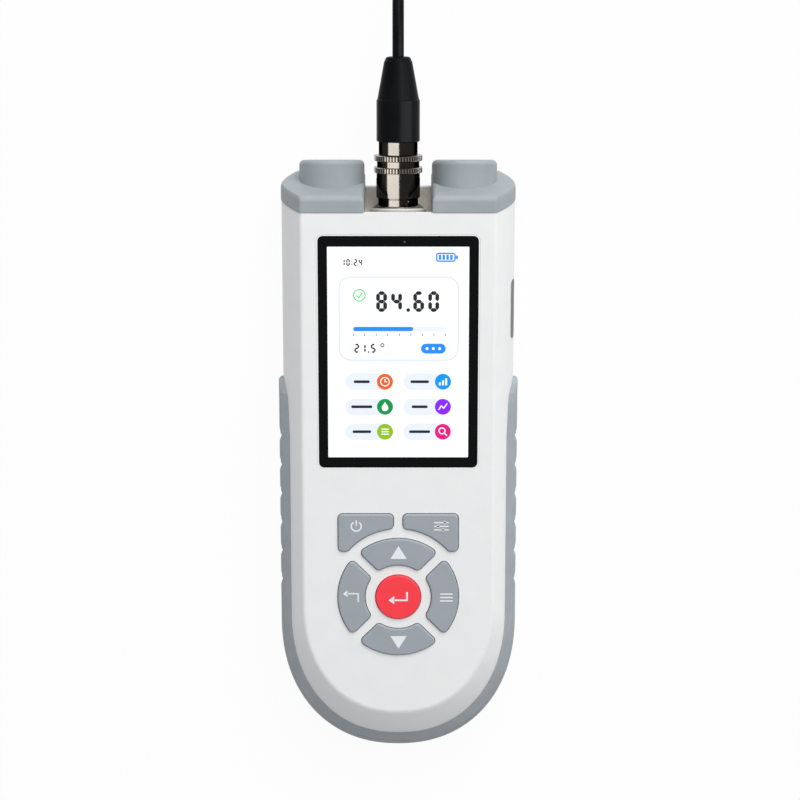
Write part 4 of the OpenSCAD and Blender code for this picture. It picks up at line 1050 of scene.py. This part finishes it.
def sign(kind, x, y):
    """Plain white sign in a disc."""
    if kind == 0:
        return [hoop(x, y, 1.5, 0.36), stroke([(x, y + 0.9), (x, y), (x + 0.7, y)], 0.34)]
    if kind == 1:
        return [bar(x - 1.1 + 1.1 * k, y - 0.75 + 0.35 * k, 0.65, 1.1 + 0.7 * k, 0.12) for k in range(3)]
    if kind == 2:
        drop = [(x + 1.15 * math.cos(a), y - 0.4 + 1.15 * math.sin(a)) for a in
                [math.radians(-210 + 240 * k / 20) for k in range(21)]]
        return [drop + [(x, y + 1.75)]]
    if kind == 3:
        return [stroke([(x - 1.5, y - 1.1), (x - 0.6, y + 0.3), (x + 0.3, y - 0.5), (x + 1.5, y + 1.2)], 0.4)]
    if kind == 4:
        return [bar(x, y + 0.9 * k, 2.7, 0.42) for k in (-1, 0, 1)]
    return [hoop(x - 0.3, y + 0.3, 1.05, 0.36), stroke([(x + 0.45, y - 0.45), (x + 1.45, y - 1.45)], 0.42)]


pills, lines, signs = [], [], []
for k, (hue, rgb) in enumerate(HUES):
    x, y = (-10.1, 10.1)[k % 2], below(58.8 + 8.9 * (k // 2))
    pills.append(bar(x, y, PILL_W, PILL_H))
    lines.append(bar(x - 2.6, y, 5.6 + 0.9 * (k % 3), 0.95))
    at = x + PILL_W / 2 - DISC_R
    plates("entry_" + hue, [disc(at, y, DISC_R)], *MIDDLE, ink(hue, *rgb), "display")
    signs += sign(k, at, y)
plates("entry_pills", pills, *LOW, PALE_BLUE, "display")
plates("entry_lines", lines, *MIDDLE, INK, "display")
plates("entry_signs", signs, *HIGH, SHINE, "display")
plates("light_sensor", [disc(2.2, below(9.9), 0.35)], TOP_Z - 0.05, TOP_Z + 0.02, SENSOR, "window_glass")

# Signs on the keys: plain shapes, no words
SIGNS = {
    "power": [arc_line(-14.8, below(110.5), 1.75, -235, 55, 0.5), bar(-14.8, below(109.3), 0.5, 2.0)],
    "calibrate": [bar(15.2, below(110.5) + d, 5.2, 0.45) for d in (1.3, 0, -1.3)]
                 + [bar(15.2 + dx, below(110.5) + d, 0.85, 1.1, 0.2)
                    for dx, d in ((1.2, 1.3), (-1.2, 0), (0.6, -1.3))],
    "up": [[(-2.8, below(122.4)), (3.0, below(122.4)), (0.1, below(117.7))]],
    "down": [[(-2.8, below(150.9)), (3.0, below(150.9)), (0.1, below(155.6))]],
    "left": [stroke([(-14.2, below(138.3)), (-14.2, below(135.2)), (-18.2, below(135.2))], 0.5),
             [(-18.0, below(133.9)), (-18.0, below(136.5)), (-19.6, below(135.2))]],
    "right": [bar(17.1, below(136.6) + 1.25 * k, 4.6, 0.5) for k in (-1, 0, 1)],
    "enter": [stroke([(3.1, below(134.6)), (3.1, below(137.6)), (-1.6, below(137.6))], 0.62),
              [(-1.4, below(136.1)), (-1.4, below(139.1)), (-3.4, below(137.6))]],
}
for name, shapes in SIGNS.items():
    plates("sign_" + name, shapes, KEY_TOP - 0.05, KEY_TOP + 0.03, PRINT, "key_grey", name + "_button")


# Soft narrow lamps for the plug alone, as in the photograph
def light_only(name, lamp, pieces):
    group = bpy.data.collections.new(name)
    for piece in pieces:
        group.objects.link(piece)
    lamp.light_linking.receiver_collection = group


light_only("plug_metal", light("metal_strip", (-0.61, 0.05, 1.15), (0, 0.1, 0), (0.5, 1.62), 108),
           [sleeve, frame["nodes"]["plug_body"]])
light_only("plug_knurls", light("knurl_strip", (-0.75, 0.05, 1.1), (0, 0.1, 0), (1.2, 1.62), 33), knurls)
light_only("plug_black", light("boot_strip", (0.95, 0.05, 1.0), (0, 0.1, 0), (0.7, 1.62), 28),
           [frame["nodes"]["plug_boot"], cable])
